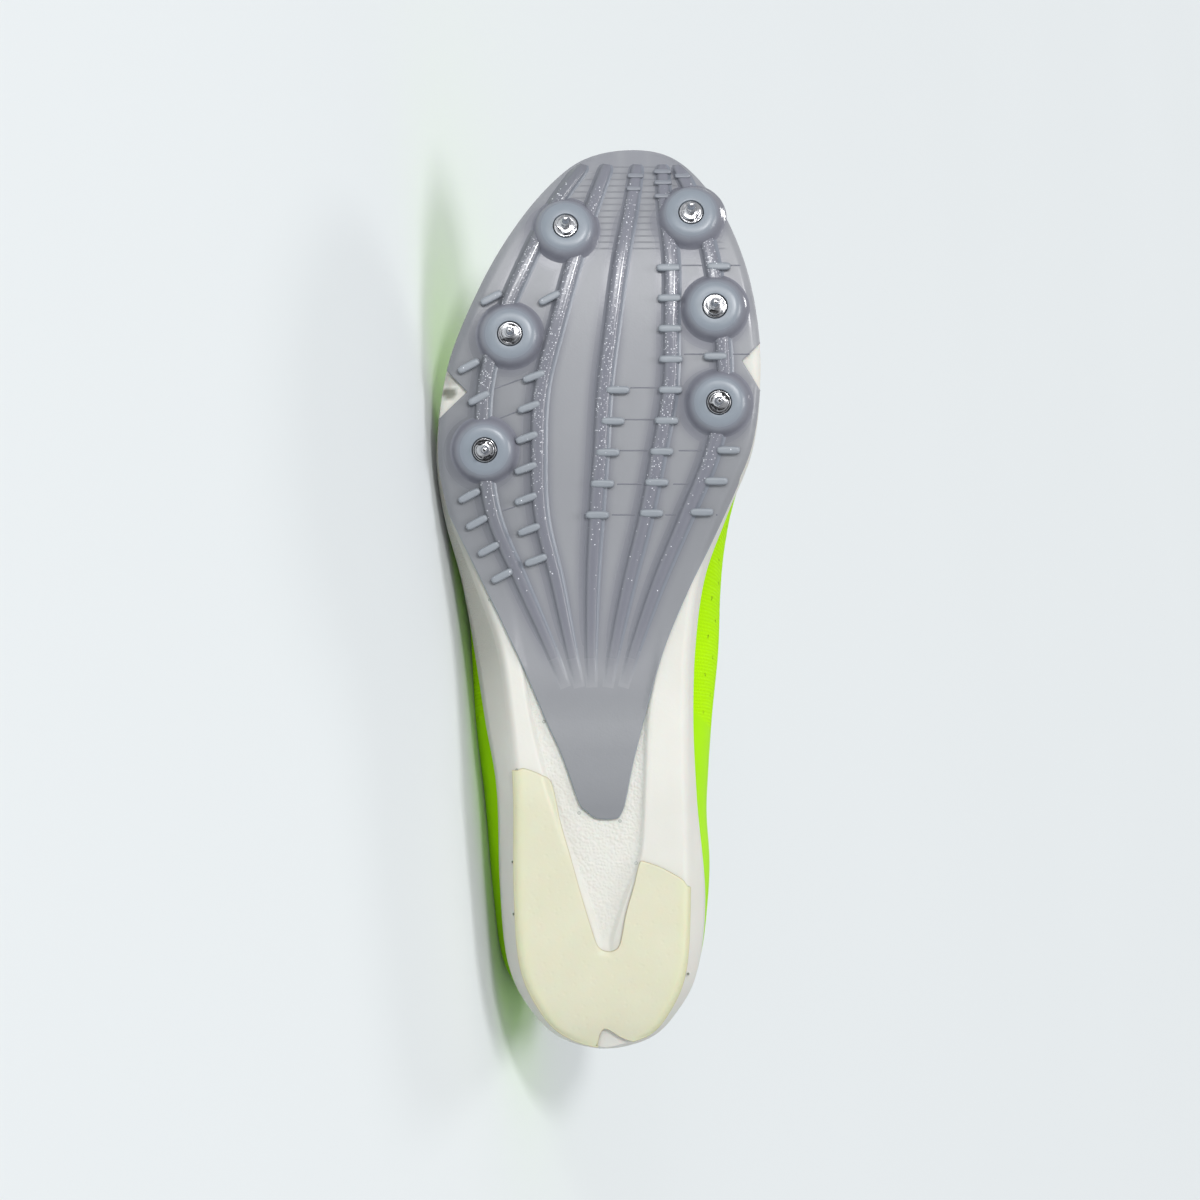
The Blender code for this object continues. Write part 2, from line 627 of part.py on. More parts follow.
def tread_sheet(name, paint):
    """The thin layer under the foam, as wide as the sole's underside."""
    lower = []
    upper = []
    for row in rows_along(0, LAST_ROW, STEPS_PER_ROW):
        shares = columns(rung(row, 0.5).x)
        line = [rung(row, share) for share in shares]
        lower.append([Vector((p.x, p.y, underside(p.x, p.y))) for p in line])
        upper.append([p + Vector((0.0, 0.0, PLATE_THICKNESS)) for p in lower[-1]])
    return slab(name, lower, upper, paint)


def make_rubber(paint):
    """Heel rubber on the foam's underside."""
    rubber = tread_sheet("heel_rubber", paint)
    combine(rubber, prism(RUBBER_CUT, -TOE_SPRING, 2.0 * TOE_SPRING), "INTERSECT")
    return rubber


def prism(points, low, high):
    """Upright cutter through an outline given in shares of length and ball width."""
    base = [Vector((x * LENGTH, y * BALL_WIDTH, low)) for x, y in points]
    top = [Vector((p.x, p.y, high)) for p in base]
    count = len(base)
    faces = [tuple(range(count)), tuple(range(2 * count - 1, count - 1, -1))]
    faces += [(i, (i + 1) % count, (i + 1) % count + count, i + count) for i in range(count)]
    return mesh_object("cutter", base + top, faces, None)


def make_midsole(paint):
    """Foam body: underside, flared side with its ledge, rim, and the bed inside it."""
    rows = rows_along(0, LAST_ROW, STEPS_PER_ROW)
    lift = Vector((0.0, 0.0, PLATE_THICKNESS + FIT_GAP))
    points = []
    sections = []
    for row in rows:
        shares = columns(rung(row, 0.5).x)
        under = [rung(row, share) for share in shares]
        under = [Vector((p.x, p.y, underside(p.x, p.y))) + lift for p in under]
        lateral = sole_side(row)
        medial = sole_side(RING - row)
        top = [lateral[-1].lerp(medial[-1], k / BED_STEPS) for k in range(BED_STEPS + 1)]
        top = [Vector((p.x, p.y, bed(p.x))) for p in top]
        sections.append(under + medial[1:-1] + top[::-1] + lateral[-2:0:-1])
    for section in sections:
        points += section
    faces = grid_faces(len(sections[0]), len(sections), closed=True)
    return mesh_object("midsole", points, faces, paint)


def make_insole(paint):
    """Thin foam sheet on the bed, inside the upper's wall."""
    inset = RIM_WIDTH + FIT_GAP + WALL + INSOLE_CLEARANCE
    lower = []
    upper = []
    for row in rows_along(0, LAST_ROW, 1):
        lateral = outline(row, ring_value(FLARE, row) - inset)
        medial = outline(RING - row, ring_value(FLARE, RING - row) - inset)
        line = [lateral.lerp(medial, share) for share in (0.0, 0.15, 0.5, 0.85, 1.0)]
        lower.append([Vector((p.x, p.y, bed(p.x) + FIT_GAP)) for p in line])
        upper.append([p + Vector((0.0, 0.0, INSOLE_THICKNESS)) for p in lower[-1]])
    return slab("insole", lower, upper, paint)


def make_upper(paint):
    """Hollow knit wall around the foot, open under it and at collar and throat."""
    sections = []
    for station in rows_along(0, RING, STEPS_PER_ROW)[:-1]:
        outer = [skin(station, share) for share in WALL_SHARES]
        inner = [lining(station, share) for share in LINING_SHARES]
        lip = (outer[-1] + inner[-1]) / 2.0
        lip += (form(station, 1.0) - form(station, 0.97)).normalized() * WALL * 0.35
        sections.append(outer + [lip] + inner[::-1])
    points = [p for section in sections for p in section]
    across = len(sections[0])
    faces = grid_faces(across, len(sections), closed=True)
    last = (len(sections) - 1) * across
    for j in range(across):
        k = (j + 1) % across
        faces.append((last + j, last + k, k, j))
    upper = mesh_object("upper", points, faces, paint)
    combine(upper, eyelet_cutters(), "DIFFERENCE")
    return upper


def eyelet_rows():
    """Row numbers of the eyelet pairs."""
    step = (EYELET_LAST_ROW - EYELET_FIRST_ROW) / (EYELET_PAIRS - 1)
    return [EYELET_FIRST_ROW + step * k for k in range(EYELET_PAIRS)]


def lathe(profile, sides, matrix, flats=None):
    """Points and faces of a turned solid; flats limits one direction of the wide rings."""
    points = []
    for radius, height in profile:
        for k in range(sides):
            angle = 2.0 * math.pi * k / sides
            x = radius * math.cos(angle)
            y = radius * math.sin(angle)
            if flats is not None and radius > flats:
                y = min(max(y, -flats), flats)
            points.append(matrix @ Vector((x, y, height)))
    faces = grid_faces(sides, len(profile), closed=True)
    faces.append(tuple(range(sides))[::-1])
    faces.append(tuple(range(sides * (len(profile) - 1), sides * len(profile))))
    return points, faces


def eyelet_cutters():
    """Round punches through the eyestay on both sides."""
    points = []
    faces = []
    reach = 4.0 * WALL
    for row in eyelet_rows():
        for station in (row, RING - row):
            centre = form(station, EYELET_SHARE)
            turn = form_normal(station, EYELET_SHARE).to_track_quat("Z", "Y").to_matrix().to_4x4()
            some, others = lathe([(EYELET_DIAMETER / 2.0, -reach), (EYELET_DIAMETER / 2.0, reach)],
                                 PUNCH_SIDES, Matrix.Translation(centre) @ turn)
            faces += [tuple(i + len(points) for i in face) for face in others]
            points += some
    return mesh_object("punches", points, faces, None)


def make_tongue(paint):
    """Padded strip under the throat, its free end above the collar."""
    shares = [0.0, THROAT_SIDE / 2, THROAT_SIDE, 0.38, 0.5, 0.62, 1 - THROAT_SIDE,
              1 - THROAT_SIDE / 2, 1.0]
    rows = rows_along(THROAT_FIRST_ROW + 0.3, LAST_ROW, 1.0)
    top, under = [
        [[throat(row, share, -WALL - depth) for share in shares] for row in rows]
        for depth in (TONGUE_CLEARANCE, TONGUE_CLEARANCE + TONGUE_THICKNESS)]
    middle = top[0][4]
    run = (middle - top[1][4]).normalized() * TONGUE_TOP
    thickness = [low - high for high, low in zip(top[0], under[0])]
    free_top = []
    for share in (1.0, 0.85, 0.45):
        narrow = 1.0 - 0.36 * share - 0.10 * share ** 8
        straight = 1.0 - 0.70 * share
        flat = 1.0 - 0.40 * share
        size = Vector((narrow * straight, narrow, narrow * flat))
        free_top.append([middle + run * share + (p - middle) * size for p in top[0]])
    free_under = [[p + step for p, step in zip(line, thickness)] for line in free_top]
    return slab("tongue", free_top + top, free_under + under, paint, folded=True)


def ribbon(path, normals, width, thickness):
    """Points and faces of a flat band along a path."""
    points = []
    for i, centre in enumerate(path):
        ahead = path[min(i + 1, len(path) - 1)] - path[max(i - 1, 0)]
        side = ahead.cross(normals[i]).normalized() * width / 2.0
        up = normals[i] * thickness / 2.0
        points += [centre - side - up, centre + side - up,
                   centre + side + up, centre - side + up]
    faces = grid_faces(4, len(path), closed=True)
    faces.append((3, 2, 1, 0))
    faces.append(tuple(range(len(points) - 4, len(points))))
    return points, faces


def lace_band(first_row, last_row, flip, stack):
    """One crossing of the lace, from one eyelet over the tongue to another."""
    eyelet = THROAT_SIDE * (EYELET_SHARE - TONGUE_EDGE_SHARE) / (1.0 - TONGUE_EDGE_SHARE)
    count = 6
    offset = LACE_CLEARANCE + LACE_THICKNESS / 2.0 + stack
    path = []
    normals = []
    for k in range(count + 1):
        share = k / count
        across = eyelet + (1.0 - 2.0 * eyelet) * share
        if flip:
            across = 1.0 - across
        row = first_row + (last_row - first_row) * share
        low = throat(row, across, offset)
        normal = (throat(row, across, offset + LACE_THICKNESS) - low).normalized()
        path.append(low - normal * LACE_DIP * math.sin(math.pi * share) ** 2)
        normals.append(normal)
    points, faces = ribbon(path, normals, LACE_WIDTH, LACE_THICKNESS)
    return mesh_object("laces", points, faces, None)


def make_laces(paint):
    """The lace's crossings over the tongue, fused where they cross and at the eyelets."""
    rows = eyelet_rows()
    bands = [lace_band(rows[-1], rows[-1], False, LACE_STACK / 2.0)]
    for low, high in zip(rows, rows[1:]):
        bands.append(lace_band(high, low, False, 0.0))
        bands.append(lace_band(high, low, True, LACE_STACK))
    laces = bands[0]
    for band in bands[:0:-1]:
        combine(laces, band, "UNION")
    laces.data.materials.clear()
    laces.data.materials.append(paint)
    return laces


def joined(parts):
    """Points and faces of several shapes as one list."""
    points = []
    faces = []
    for some, others in parts:
        faces += [tuple(i + len(points) for i in face) for face in others]
        points += some
    return points, faces


def rib_body(name):
    """One long rib, its foot sunk into the plate and its ends running out."""
    points = []
    stations = [row.x for row in RIB_ROWS]
    for share in stations:
        y = table_value(RIB_ROWS, name, share) * BALL_WIDTH
        slope = (table_value(RIB_ROWS, name, share + 0.004)
                 - table_value(RIB_ROWS, name, share - 0.004)) * BALL_WIDTH
        along = Vector((0.008 * LENGTH, slope, 0.0)).normalized()
        side = Vector((-along.y, along.x, 0.0))
        height = table_value(RIB_ROWS, "height", share) * RIB_HEIGHT
        half = table_value(RIB_ROWS, "width", share) * RIB_WIDTH / 2.0
        for out, down in ((-1.0, None), (-0.55, 1.0), (0.55, 1.0), (1.0, None)):
            p = Vector((share * LENGTH, y, 0.0)) + side * out * half
            p.y = max(p.y, edge_y(LATERAL_EDGE, p.x) + RIB_EDGE_MARGIN)
            p.y = min(p.y, edge_y(MEDIAL_EDGE, p.x) - RIB_EDGE_MARGIN)
            surface = underside(p.x, p.y)
            sink = SINK_SHARE * PLATE_THICKNESS
            p.z = surface + sink if down is None else surface - down * height
            points.append(p)
    faces = grid_faces(4, len(stations), closed=True)
    faces.append((3, 2, 1, 0))
    faces.append(tuple(range(len(points) - 4, len(points))))
    return points, faces


def lug_places():
    """Centre and turn of every cross lug."""
    places = []
    for run in LUG_RUNS:
        for k in range(run.count):
            part = k / max(run.count - 1, 1)
            x = run.x - run.pitch * k
            offset = run.first_offset + (run.last_offset - run.first_offset) * part
            y = table_value(RIB_ROWS, run.rib, x) + offset
            places.append((x * LENGTH, y * BALL_WIDTH, math.radians(run.tilt)))
    return places


def lug_body(x, y, turn):
    """One cross lug, a bar with sloping ends whose foot is sunk into the plate."""
    lengthways = Vector((math.sin(turn), math.cos(turn), 0.0))
    sideways = Vector((math.cos(turn), -math.sin(turn), 0.0))
    points = []
    for level in (-SINK_SHARE * PLATE_THICKNESS, LUG_HEIGHT):
        draft = 1.0 if level < 0.0 else 0.8
        for along, across in ((-1, -1), (1, -1), (1, 1), (-1, 1)):
            p = Vector((x, y, 0.0)) + lengthways * along * draft * LUG_LENGTH / 2.0
            p += sideways * across * draft * LUG_WIDTH / 2.0
            p.z = underside(p.x, p.y) - level
            points.append(p)
    faces = [(3, 2, 1, 0), (4, 5, 6, 7), (0, 1, 5, 4), (1, 2, 6, 5), (2, 3, 7, 6), (3, 0, 4, 7)]
    return points, faces


def boss_frame(x_share, y_share):
    """Frame at a boss's foot: its Z runs out of the sole, square to the tread."""
    x = x_share * LENGTH
    y = y_share * BALL_WIDTH
    reach = BOSS_DIAMETER * 0.3
    rise_x = (underside(x + reach, y) - underside(x - reach, y)) / (2.0 * reach)
    rise_y = (underside(x, y + reach) - underside(x, y - reach)) / (2.0 * reach)
    out = Vector((rise_x, rise_y, -1.0)).normalized()
    right = Vector((0.0, 1.0, 0.0)).cross(out).normalized()
    turn = Matrix((right, out.cross(right), out)).transposed().to_4x4()
    return Matrix.Translation(Vector((x, y, underside(x, y)))) @ turn


def boss_body(frame):
    """One boss: a low dome with a flat top, its foot following the tread."""
    wide = BOSS_DIAMETER / 2.0
    narrow = BOSS_TOP_DIAMETER / 2.0
    profile = [(wide, 0.0), (wide, 0.15), (0.4 * narrow + 0.6 * wide, 0.68), (narrow, 1.0)]
    profile = [(radius, share * BOSS_HEIGHT) for radius, share in profile]
    points, faces = lathe(profile, TURN_SIDES, frame)
    for p in points[:TURN_SIDES]:
        p.z = underside(p.x, p.y) + SINK_SHARE * PLATE_THICKNESS
    return points, faces


def make_plate(paint):
    """Moulded plate with its ribs, cross lugs, bosses and socket pockets."""
    plate = tread_sheet("spike_plate", paint)
    combine(plate, prism(PLATE_CUT, -TOE_SPRING, 2.0 * TOE_SPRING), "INTERSECT")
    for name in RIB_NAMES:
        combine(plate, mesh_object("rib", *rib_body(name), None), "UNION")
    lugs = joined([lug_body(*place) for place in lug_places()])
    combine(plate, mesh_object("lugs", *lugs, None), "UNION")
    frames = [boss_frame(*place) for place in BOSSES]
    bosses = joined([boss_body(frame) for frame in frames])
    combine(plate, mesh_object("bosses", *bosses, None), "UNION")
    radius = SOCKET_DIAMETER / 2.0 + FIT_GAP
    bottom = BOSS_HEIGHT - SOCKET_DEPTH - FIT_GAP
    profile = [(radius, bottom), (radius, 2.0 * BOSS_HEIGHT)]
    pockets = joined([lathe(profile, TURN_SIDES, frame) for frame in frames])
    combine(plate, mesh_object("pockets", *pockets, None), "DIFFERENCE")
    return plate


def make_socket(number, frame, paint):
    """Steel socket in its boss, flush with the boss's top, with a blind bore."""
    outer = SOCKET_DIAMETER / 2.0
    bore = SOCKET_BORE / 2.0
    edge = 0.06 * outer
    profile = [(outer, -SOCKET_DEPTH), (outer, -edge), (outer - edge, 0.0), (bore, 0.0),
               (bore, -STUD_LENGTH - FIT_GAP)]
    socket = mesh_object("receptacle_" + str(number), *lathe(profile, TURN_SIDES, Matrix()), paint)
    socket.matrix_basis = frame @ Matrix.Translation((0.0, 0.0, BOSS_HEIGHT))
    return socket


def make_spike(number, frame, paint):
    """Screw-in pin: stud, flange with two wrench flats, and a stepped pin with a blunt tip."""
    stud = SOCKET_BORE / 2.0 - FIT_GAP
    flange = FLANGE_DIAMETER / 2.0
    pin = PIN_DIAMETER / 2.0
    seat = FIT_GAP
    foot = seat + FLANGE_HEIGHT
    profile = [(stud, -STUD_LENGTH), (stud, seat), (flange, seat), (flange, foot), (pin, foot)]
    for radius, height in ((1.0, 0.40), (0.74, 0.46), (0.46, 1.0)):
        profile.append((pin * radius, foot + PIN_LENGTH * height))
    shape = lathe(profile, PIN_SIDES, Matrix(), FLANGE_FLATS / 2.0)
    spike = mesh_object("spike_" + str(number), *shape, paint)
    turn = Matrix.Rotation(number * SPIKE_TURN, 4, "Z")
    spike.matrix_basis = frame @ Matrix.Translation((0.0, 0.0, BOSS_HEIGHT)) @ turn
    return spike


def lying_pose(things):
    """Matrix that lays the shoe on its lateral side, with its box centred over the origin."""
    toe = Vector((1.0, 0.0, 0.0))
    x_axis = -(toe - FLOOR_UP * toe.dot(FLOOR_UP)).normalized()
    turn = Matrix((x_axis, FLOOR_UP.cross(x_axis), FLOOR_UP)).to_4x4()
    low = [math.inf] * 3
    high = [-math.inf] * 3
    for thing in things:
        for vert in thing.data.vertices:
            p = turn @ thing.matrix_basis @ vert.co
            low = [min(a, b) for a, b in zip(low, p)]
            high = [max(a, b) for a, b in zip(high, p)]
    shift = Vector((-(low[0] + high[0]) / 2.0, -(low[1] + high[1]) / 2.0, -low[2]))
    return Matrix.Translation(shift) @ turn


def build():
    """Make every piece in the shoe's frame, then lay the shoe down."""
    start_empty()
    foam = principled("white_foam", (0.83, 0.83, 0.80), 0.60)
    knit = principled("lime_knit", (0.50, 0.95, 0.01), 0.75)
    sock = principled("insole_cloth", (0.78, 0.80, 0.78), 0.85)
    lace = principled("white_lace", (0.85, 0.87, 0.82), 0.80)
    plastic = principled("grey_plate", (0.36, 0.40, 0.45), 0.35)
    rubber = principled("cream_rubber", (0.72, 0.68, 0.52), 0.45)
    steel = principled("bright_steel", (0.75, 0.75, 0.77), 0.22, 1.0)
    things = [
        make_midsole(foam),
        make_upper(knit),
        make_insole(sock),
        make_tongue(knit),
        make_laces(lace),
        make_plate(plastic),
        make_rubber(rubber),
    ]
    for number, place in enumerate(BOSSES, 1):
        frame = boss_frame(*place)
        things.append(make_socket(number, frame, steel))
        things.append(make_spike(number, frame, steel))
    carrier = bpy.data.objects.new("shoe", None)
    bpy.context.scene.collection.objects.link(carrier)
    carrier.matrix_world = lying_pose(things)
    for thing in things:
        shade(thing)
        thing.parent = carrier


build()
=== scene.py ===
"""Track spike shoe for the right foot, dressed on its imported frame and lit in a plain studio.

Laid out as an add-on: each piece of the shoe has an operator, and the panel lists them. Pieces are
modelled in the shoe's own frame, X from heel to toe, Y towards the medial side and Z up from the
heel tread, and POSE lays them on their lateral side over the frame's solids.
"""
import math

import bmesh
import bpy
import numpy as np
from mathutils import Matrix, Vector, geometry


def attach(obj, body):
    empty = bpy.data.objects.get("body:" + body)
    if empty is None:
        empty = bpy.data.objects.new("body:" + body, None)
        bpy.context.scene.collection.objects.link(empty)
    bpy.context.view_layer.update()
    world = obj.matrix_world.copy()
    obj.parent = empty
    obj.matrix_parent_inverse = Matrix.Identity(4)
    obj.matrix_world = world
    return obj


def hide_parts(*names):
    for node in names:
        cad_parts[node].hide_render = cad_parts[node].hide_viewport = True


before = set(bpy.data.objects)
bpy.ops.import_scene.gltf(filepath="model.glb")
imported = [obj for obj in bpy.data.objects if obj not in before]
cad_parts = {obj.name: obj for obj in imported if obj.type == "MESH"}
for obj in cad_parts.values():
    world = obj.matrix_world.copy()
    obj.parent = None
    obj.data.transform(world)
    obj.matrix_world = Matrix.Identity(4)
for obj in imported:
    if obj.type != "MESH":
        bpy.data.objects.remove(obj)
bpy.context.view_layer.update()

bl_info = {
    "name": "Track spike shoe",
    "version": (1, 0, 0),
    "blender": (4, 5, 0),
    "location": "View3D > Sidebar > Shoe",
    "description": "Dresses the frame of a track spike shoe with its plate, foam, knit and steel",
    "category": "Object",
}

# Lying pose of the shoe's own frame in the frame of the part
POSE = Matrix((
    (-0.995700, 0.090250, -0.020930, 0.138800),
    (0.000000, 0.225920, 0.974150, -0.038820),
    (0.092640, 0.969960, -0.224950, 0.036530),
    (0.000000, 0.000000, 0.000000, 1.000000),
))

# Sizes in metres, as in the solids
LENGTH = 0.280
BALL_WIDTH = 0.100
TOE_SPRING = 0.0198
HEEL_FOAM = 0.018
RIM_HEIGHT = 0.005
RIM_WIDTH = 0.0025
ROLL_RADIUS = 0.0026
ROLL_LIFT = 0.0018
CHANNEL_DEPTH = 0.0018
SIDE_LEDGE = 0.0006
INSTEP_HEIGHT = 0.086
WALL = 0.0016
EYESTAY_STEP = 0.0006
COLLAR_PAD = 0.0022
EYELET_DIAMETER = 0.0042
EYELET_PAIRS = 5
INSOLE_THICKNESS = 0.003
TONGUE_THICKNESS = 0.003
TONGUE_TOP = 0.016
PLATE_THICKNESS = 0.0012
RIB_WIDTH = 0.0044
RIB_HEIGHT = 0.0019
LUG_LENGTH = 0.0074
LUG_WIDTH = 0.0023
LUG_HEIGHT = 0.0024
BOSS_DIAMETER = 0.0200
BOSS_HEIGHT = 0.0046
SOCKET_DIAMETER = 0.0073
FIT_GAP = 0.0003
INSOLE_CLEARANCE = 0.0009
TONGUE_CLEARANCE = 0.0010
LACE_CLEARANCE = 0.0008
LACE_THICKNESS = 0.0012
LACE_STACK = 0.0006
LACE_DIP = 0.0014
LACE_NARROW = 0.0015
LACE_WIDE = 0.0023
POCKET_FLOOR = 0.0004
WRENCH_HALF = 0.0023
HAIRLINE_HALF = 0.00026
FOAM_LIFT = PLATE_THICKNESS + FIT_GAP

PIN_TURN = math.radians(37.0)
SHARP_ANGLE = math.radians(50.0)
STEEL_SIDES = 64
HEX_PITCH = 0.866
RIB_START = 0.400
RIB_END = 0.9835
KNIT_PAINTS = ("girth", "rise", "panel", "perf", "lining", "seam")

# The sole from heel to toe: lateral x and y, lateral flare, medial x and y, medial flare, with x in
# shares of LENGTH and the rest in shares of BALL_WIDTH
SOLE_ROWS = np.array([
    (0.000, 0.015, 0.015, 0.000, 0.015, 0.015),
    (0.013, -0.110, 0.022, 0.012, 0.143, 0.020),
    (0.043, -0.190, 0.032, 0.040, 0.215, 0.030),
    (0.093, -0.250, 0.045, 0.086, 0.267, 0.046),
    (0.178, -0.268, 0.052, 0.165, 0.281, 0.055),
    (0.286, -0.270, 0.060, 0.272, 0.276, 0.034),
    (0.364, -0.288, 0.078, 0.364, 0.274, 0.022),
    (0.446, -0.322, 0.080, 0.450, 0.282, 0.022),
    (0.521, -0.395, 0.046, 0.525, 0.312, 0.022),
    (0.593, -0.470, 0.022, 0.593, 0.382, 0.020),
    (0.664, -0.503, 0.008, 0.668, 0.472, 0.008),
    (0.757, -0.472, 0.000, 0.757, 0.499, 0.000),
    (0.850, -0.367, 0.000, 0.843, 0.472, 0.000),
    (0.918, -0.254, 0.000, 0.914, 0.405, 0.000),
    (0.966, -0.140, 0.000, 0.964, 0.315, 0.000),
    (0.991, -0.040, 0.000, 0.993, 0.215, 0.000),
    (1.000, 0.090, 0.000, 1.000, 0.090, 0.000),
])
LAST_ROW = len(SOLE_ROWS) - 1
RING = 2 * LAST_ROW

# Side view: x in shares of LENGTH, underside of TOE_SPRING, foam of HEEL_FOAM, rim of RIM_HEIGHT
SIDE_ROWS = np.array([
    (0.00, 0.35, 0.94, 1.20), (0.03, 0.15, 0.97, 1.20), (0.07, 0.04, 1.00, 1.15),
    (0.12, 0.00, 1.00, 1.10), (0.27, 0.00, 0.95, 1.05), (0.33, 0.09, 0.86, 1.05),
    (0.39, 0.23, 0.75, 1.05), (0.46, 0.32, 0.66, 1.00), (0.54, 0.30, 0.58, 0.95),
    (0.61, 0.24, 0.52, 0.90), (0.68, 0.20, 0.47, 0.85), (0.75, 0.23, 0.43, 0.80),
    (0.82, 0.32, 0.38, 0.80), (0.89, 0.50, 0.33, 0.80), (0.96, 0.79, 0.29, 0.80),
    (1.00, 1.00, 0.27, 0.80),
])

# The sunk channel around the plate's tail: x, its lateral and medial edges in shares of the sole's
# breadth, and its depth in shares of CHANNEL_DEPTH
CHANNEL_ROWS = np.array([
    (0.00, 0.42, 0.62, 0.0), (0.10, 0.46, 0.58, 0.0), (0.12, 0.46, 0.57, 0.7),
    (0.165, 0.40, 0.64, 1.0), (0.215, 0.31, 0.73, 1.0), (0.286, 0.19, 0.76, 1.0),
    (0.364, 0.12, 0.79, 0.9), (0.43, 0.10, 0.84, 0.5), (0.50, 0.12, 0.86, 0.0),
    (1.00, 0.25, 0.75, 0.0),
])
CHANNEL_SOFT = 0.035

# Collar and throat line and the wall's swell, one row for each row of the sole: x, lateral y and z,
# medial y and z, lateral and medial bulge, lift, reach, and the slope at the top edge in degrees
UPPER_ROWS = np.array([
    (0.024, 0.015, 0.86, 0.015, 0.86, 0.045, 0.045, 0.24, 0.22, 82),
    (0.034, -0.080, 0.85, 0.108, 0.85, 0.05, 0.05, 0.24, 0.22, 81),
    (0.057, -0.160, 0.83, 0.188, 0.83, 0.06, 0.06, 0.24, 0.22, 78),
    (0.104, -0.212, 0.78, 0.240, 0.79, 0.10, 0.07, 0.23, 0.22, 76),
    (0.172, -0.240, 0.715, 0.265, 0.735, 0.12, 0.08, 0.22, 0.22, 74),
    (0.250, -0.250, 0.695, 0.275, 0.715, 0.16, 0.13, 0.22, 0.24, 72),
    (0.314, -0.238, 0.745, 0.272, 0.765, 0.15, 0.19, 0.22, 0.28, 68),
    (0.362, -0.206, 0.87, 0.248, 0.89, 0.11, 0.23, 0.22, 0.32, 58),
    (0.402, -0.172, 0.965, 0.214, 0.985, 0.07, 0.20, 0.21, 0.34, 46),
    (0.450, -0.147, 0.925, 0.187, 0.945, 0.05, 0.11, 0.20, 0.36, 38),
    (0.497, -0.127, 0.86, 0.167, 0.88, 0.04, 0.05, 0.20, 0.38, 34),
    (0.540, -0.110, 0.795, 0.150, 0.815, 0.03, 0.03, 0.20, 0.42, 31),
    (0.575, -0.090, 0.745, 0.130, 0.76, 0.02, 0.01, 0.22, 0.48, 28),
    (0.600, -0.064, 0.71, 0.104, 0.72, 0.01, 0.01, 0.24, 0.52, 25),
    (0.615, -0.034, 0.69, 0.074, 0.695, 0.01, 0.01, 0.26, 0.56, 22),
    (0.622, -0.006, 0.682, 0.046, 0.684, 0.01, 0.01, 0.27, 0.58, 20),
    (0.624, 0.020, 0.68, 0.020, 0.68, 0.01, 0.01, 0.27, 0.58, 20),
])
BASE_SHARE = 0.10
EYESTAY_SHARE = 0.83
PAD_SHARE = 0.72
SLOPE_SHARE = 0.96
COLLAR_LAST_ROW = 7.0
THROAT_FIRST_ROW = 8.0
TONGUE_EDGE_SHARE = 0.87
EYELET_SHARE = 0.93
THROAT_SIDE = 0.25
EYELET_ROWS = np.linspace(8.45, 12.9, EYELET_PAIRS)

# The edge of the plate's tail, from the medial side round its end to the lateral side, and the
# notches in its two edges, in shares of LENGTH and BALL_WIDTH
PLATE_TAIL = np.array([
    (0.625, 0.430), (0.590, 0.386), (0.552, 0.336), (0.515, 0.284), (0.472, 0.231),
    (0.437, 0.194), (0.389, 0.155), (0.322, 0.107), (0.2740, 0.079), (0.2602, 0.065),
    (0.2550, 0.049), (0.2548, -0.002), (0.2580, -0.024), (0.2642, -0.044), (0.2730, -0.066),
    (0.324, -0.118), (0.362, -0.167), (0.407, -0.220), (0.437, -0.258), (0.493, -0.333),
    (0.547, -0.408), (0.592, -0.470),
])
LATERAL_NOTCH = np.array([(0.699, -0.496), (0.7275, -0.413), (0.751, -0.476)])
MEDIAL_NOTCH = np.array([(0.782, 0.498), (0.762, 0.441), (0.729, 0.498)])

# The heel rubber's cut edges: the fish-mouth from the lateral to the medial side, and the notch
MOUTH = np.array([
    (0.309, -0.255), (0.311, -0.235), (0.304, -0.182), (0.294, -0.149), (0.252, -0.122),
    (0.215, -0.092), (0.167, -0.054), (0.124, -0.017), (0.113, -0.002), (0.109, 0.020),
    (0.110, 0.043), (0.118, 0.062), (0.151, 0.080), (0.180, 0.103), (0.207, 0.122),
    (0.208, 0.140), (0.201, 0.193), (0.189, 0.253), (0.181, 0.271),
])
NOTCH = np.array([
    (0.007, 0.103), (0.012, 0.066), (0.022, 0.020), (0.017, 0.002), (0.001, -0.009),
])

# The ribs: x, the centre lines of the five, height and width
RIB_ROWS = np.array([
    (0.395, -0.100, -0.060, -0.025, 0.022, 0.068, -0.10, 0.55),
    (0.446, -0.158, -0.093, -0.028, 0.046, 0.110, 0.45, 0.70),
    (0.518, -0.247, -0.136, -0.025, 0.089, 0.181, 0.70, 0.85),
    (0.589, -0.332, -0.184, -0.014, 0.139, 0.264, 0.90, 0.95),
    (0.661, -0.362, -0.193, 0.000, 0.180, 0.346, 1.00, 1.00),
    (0.732, -0.359, -0.183, 0.012, 0.215, 0.383, 1.00, 1.00),
    (0.804, -0.309, -0.134, 0.037, 0.220, 0.374, 1.00, 1.00),
    (0.875, -0.226, -0.080, 0.064, 0.221, 0.345, 1.00, 1.00),
    (0.936, -0.142, -0.025, 0.096, 0.201, 0.300, 0.90, 0.90),
    (0.983, -0.050, 0.023, 0.116, 0.194, 0.240, 0.80, 0.80),
])

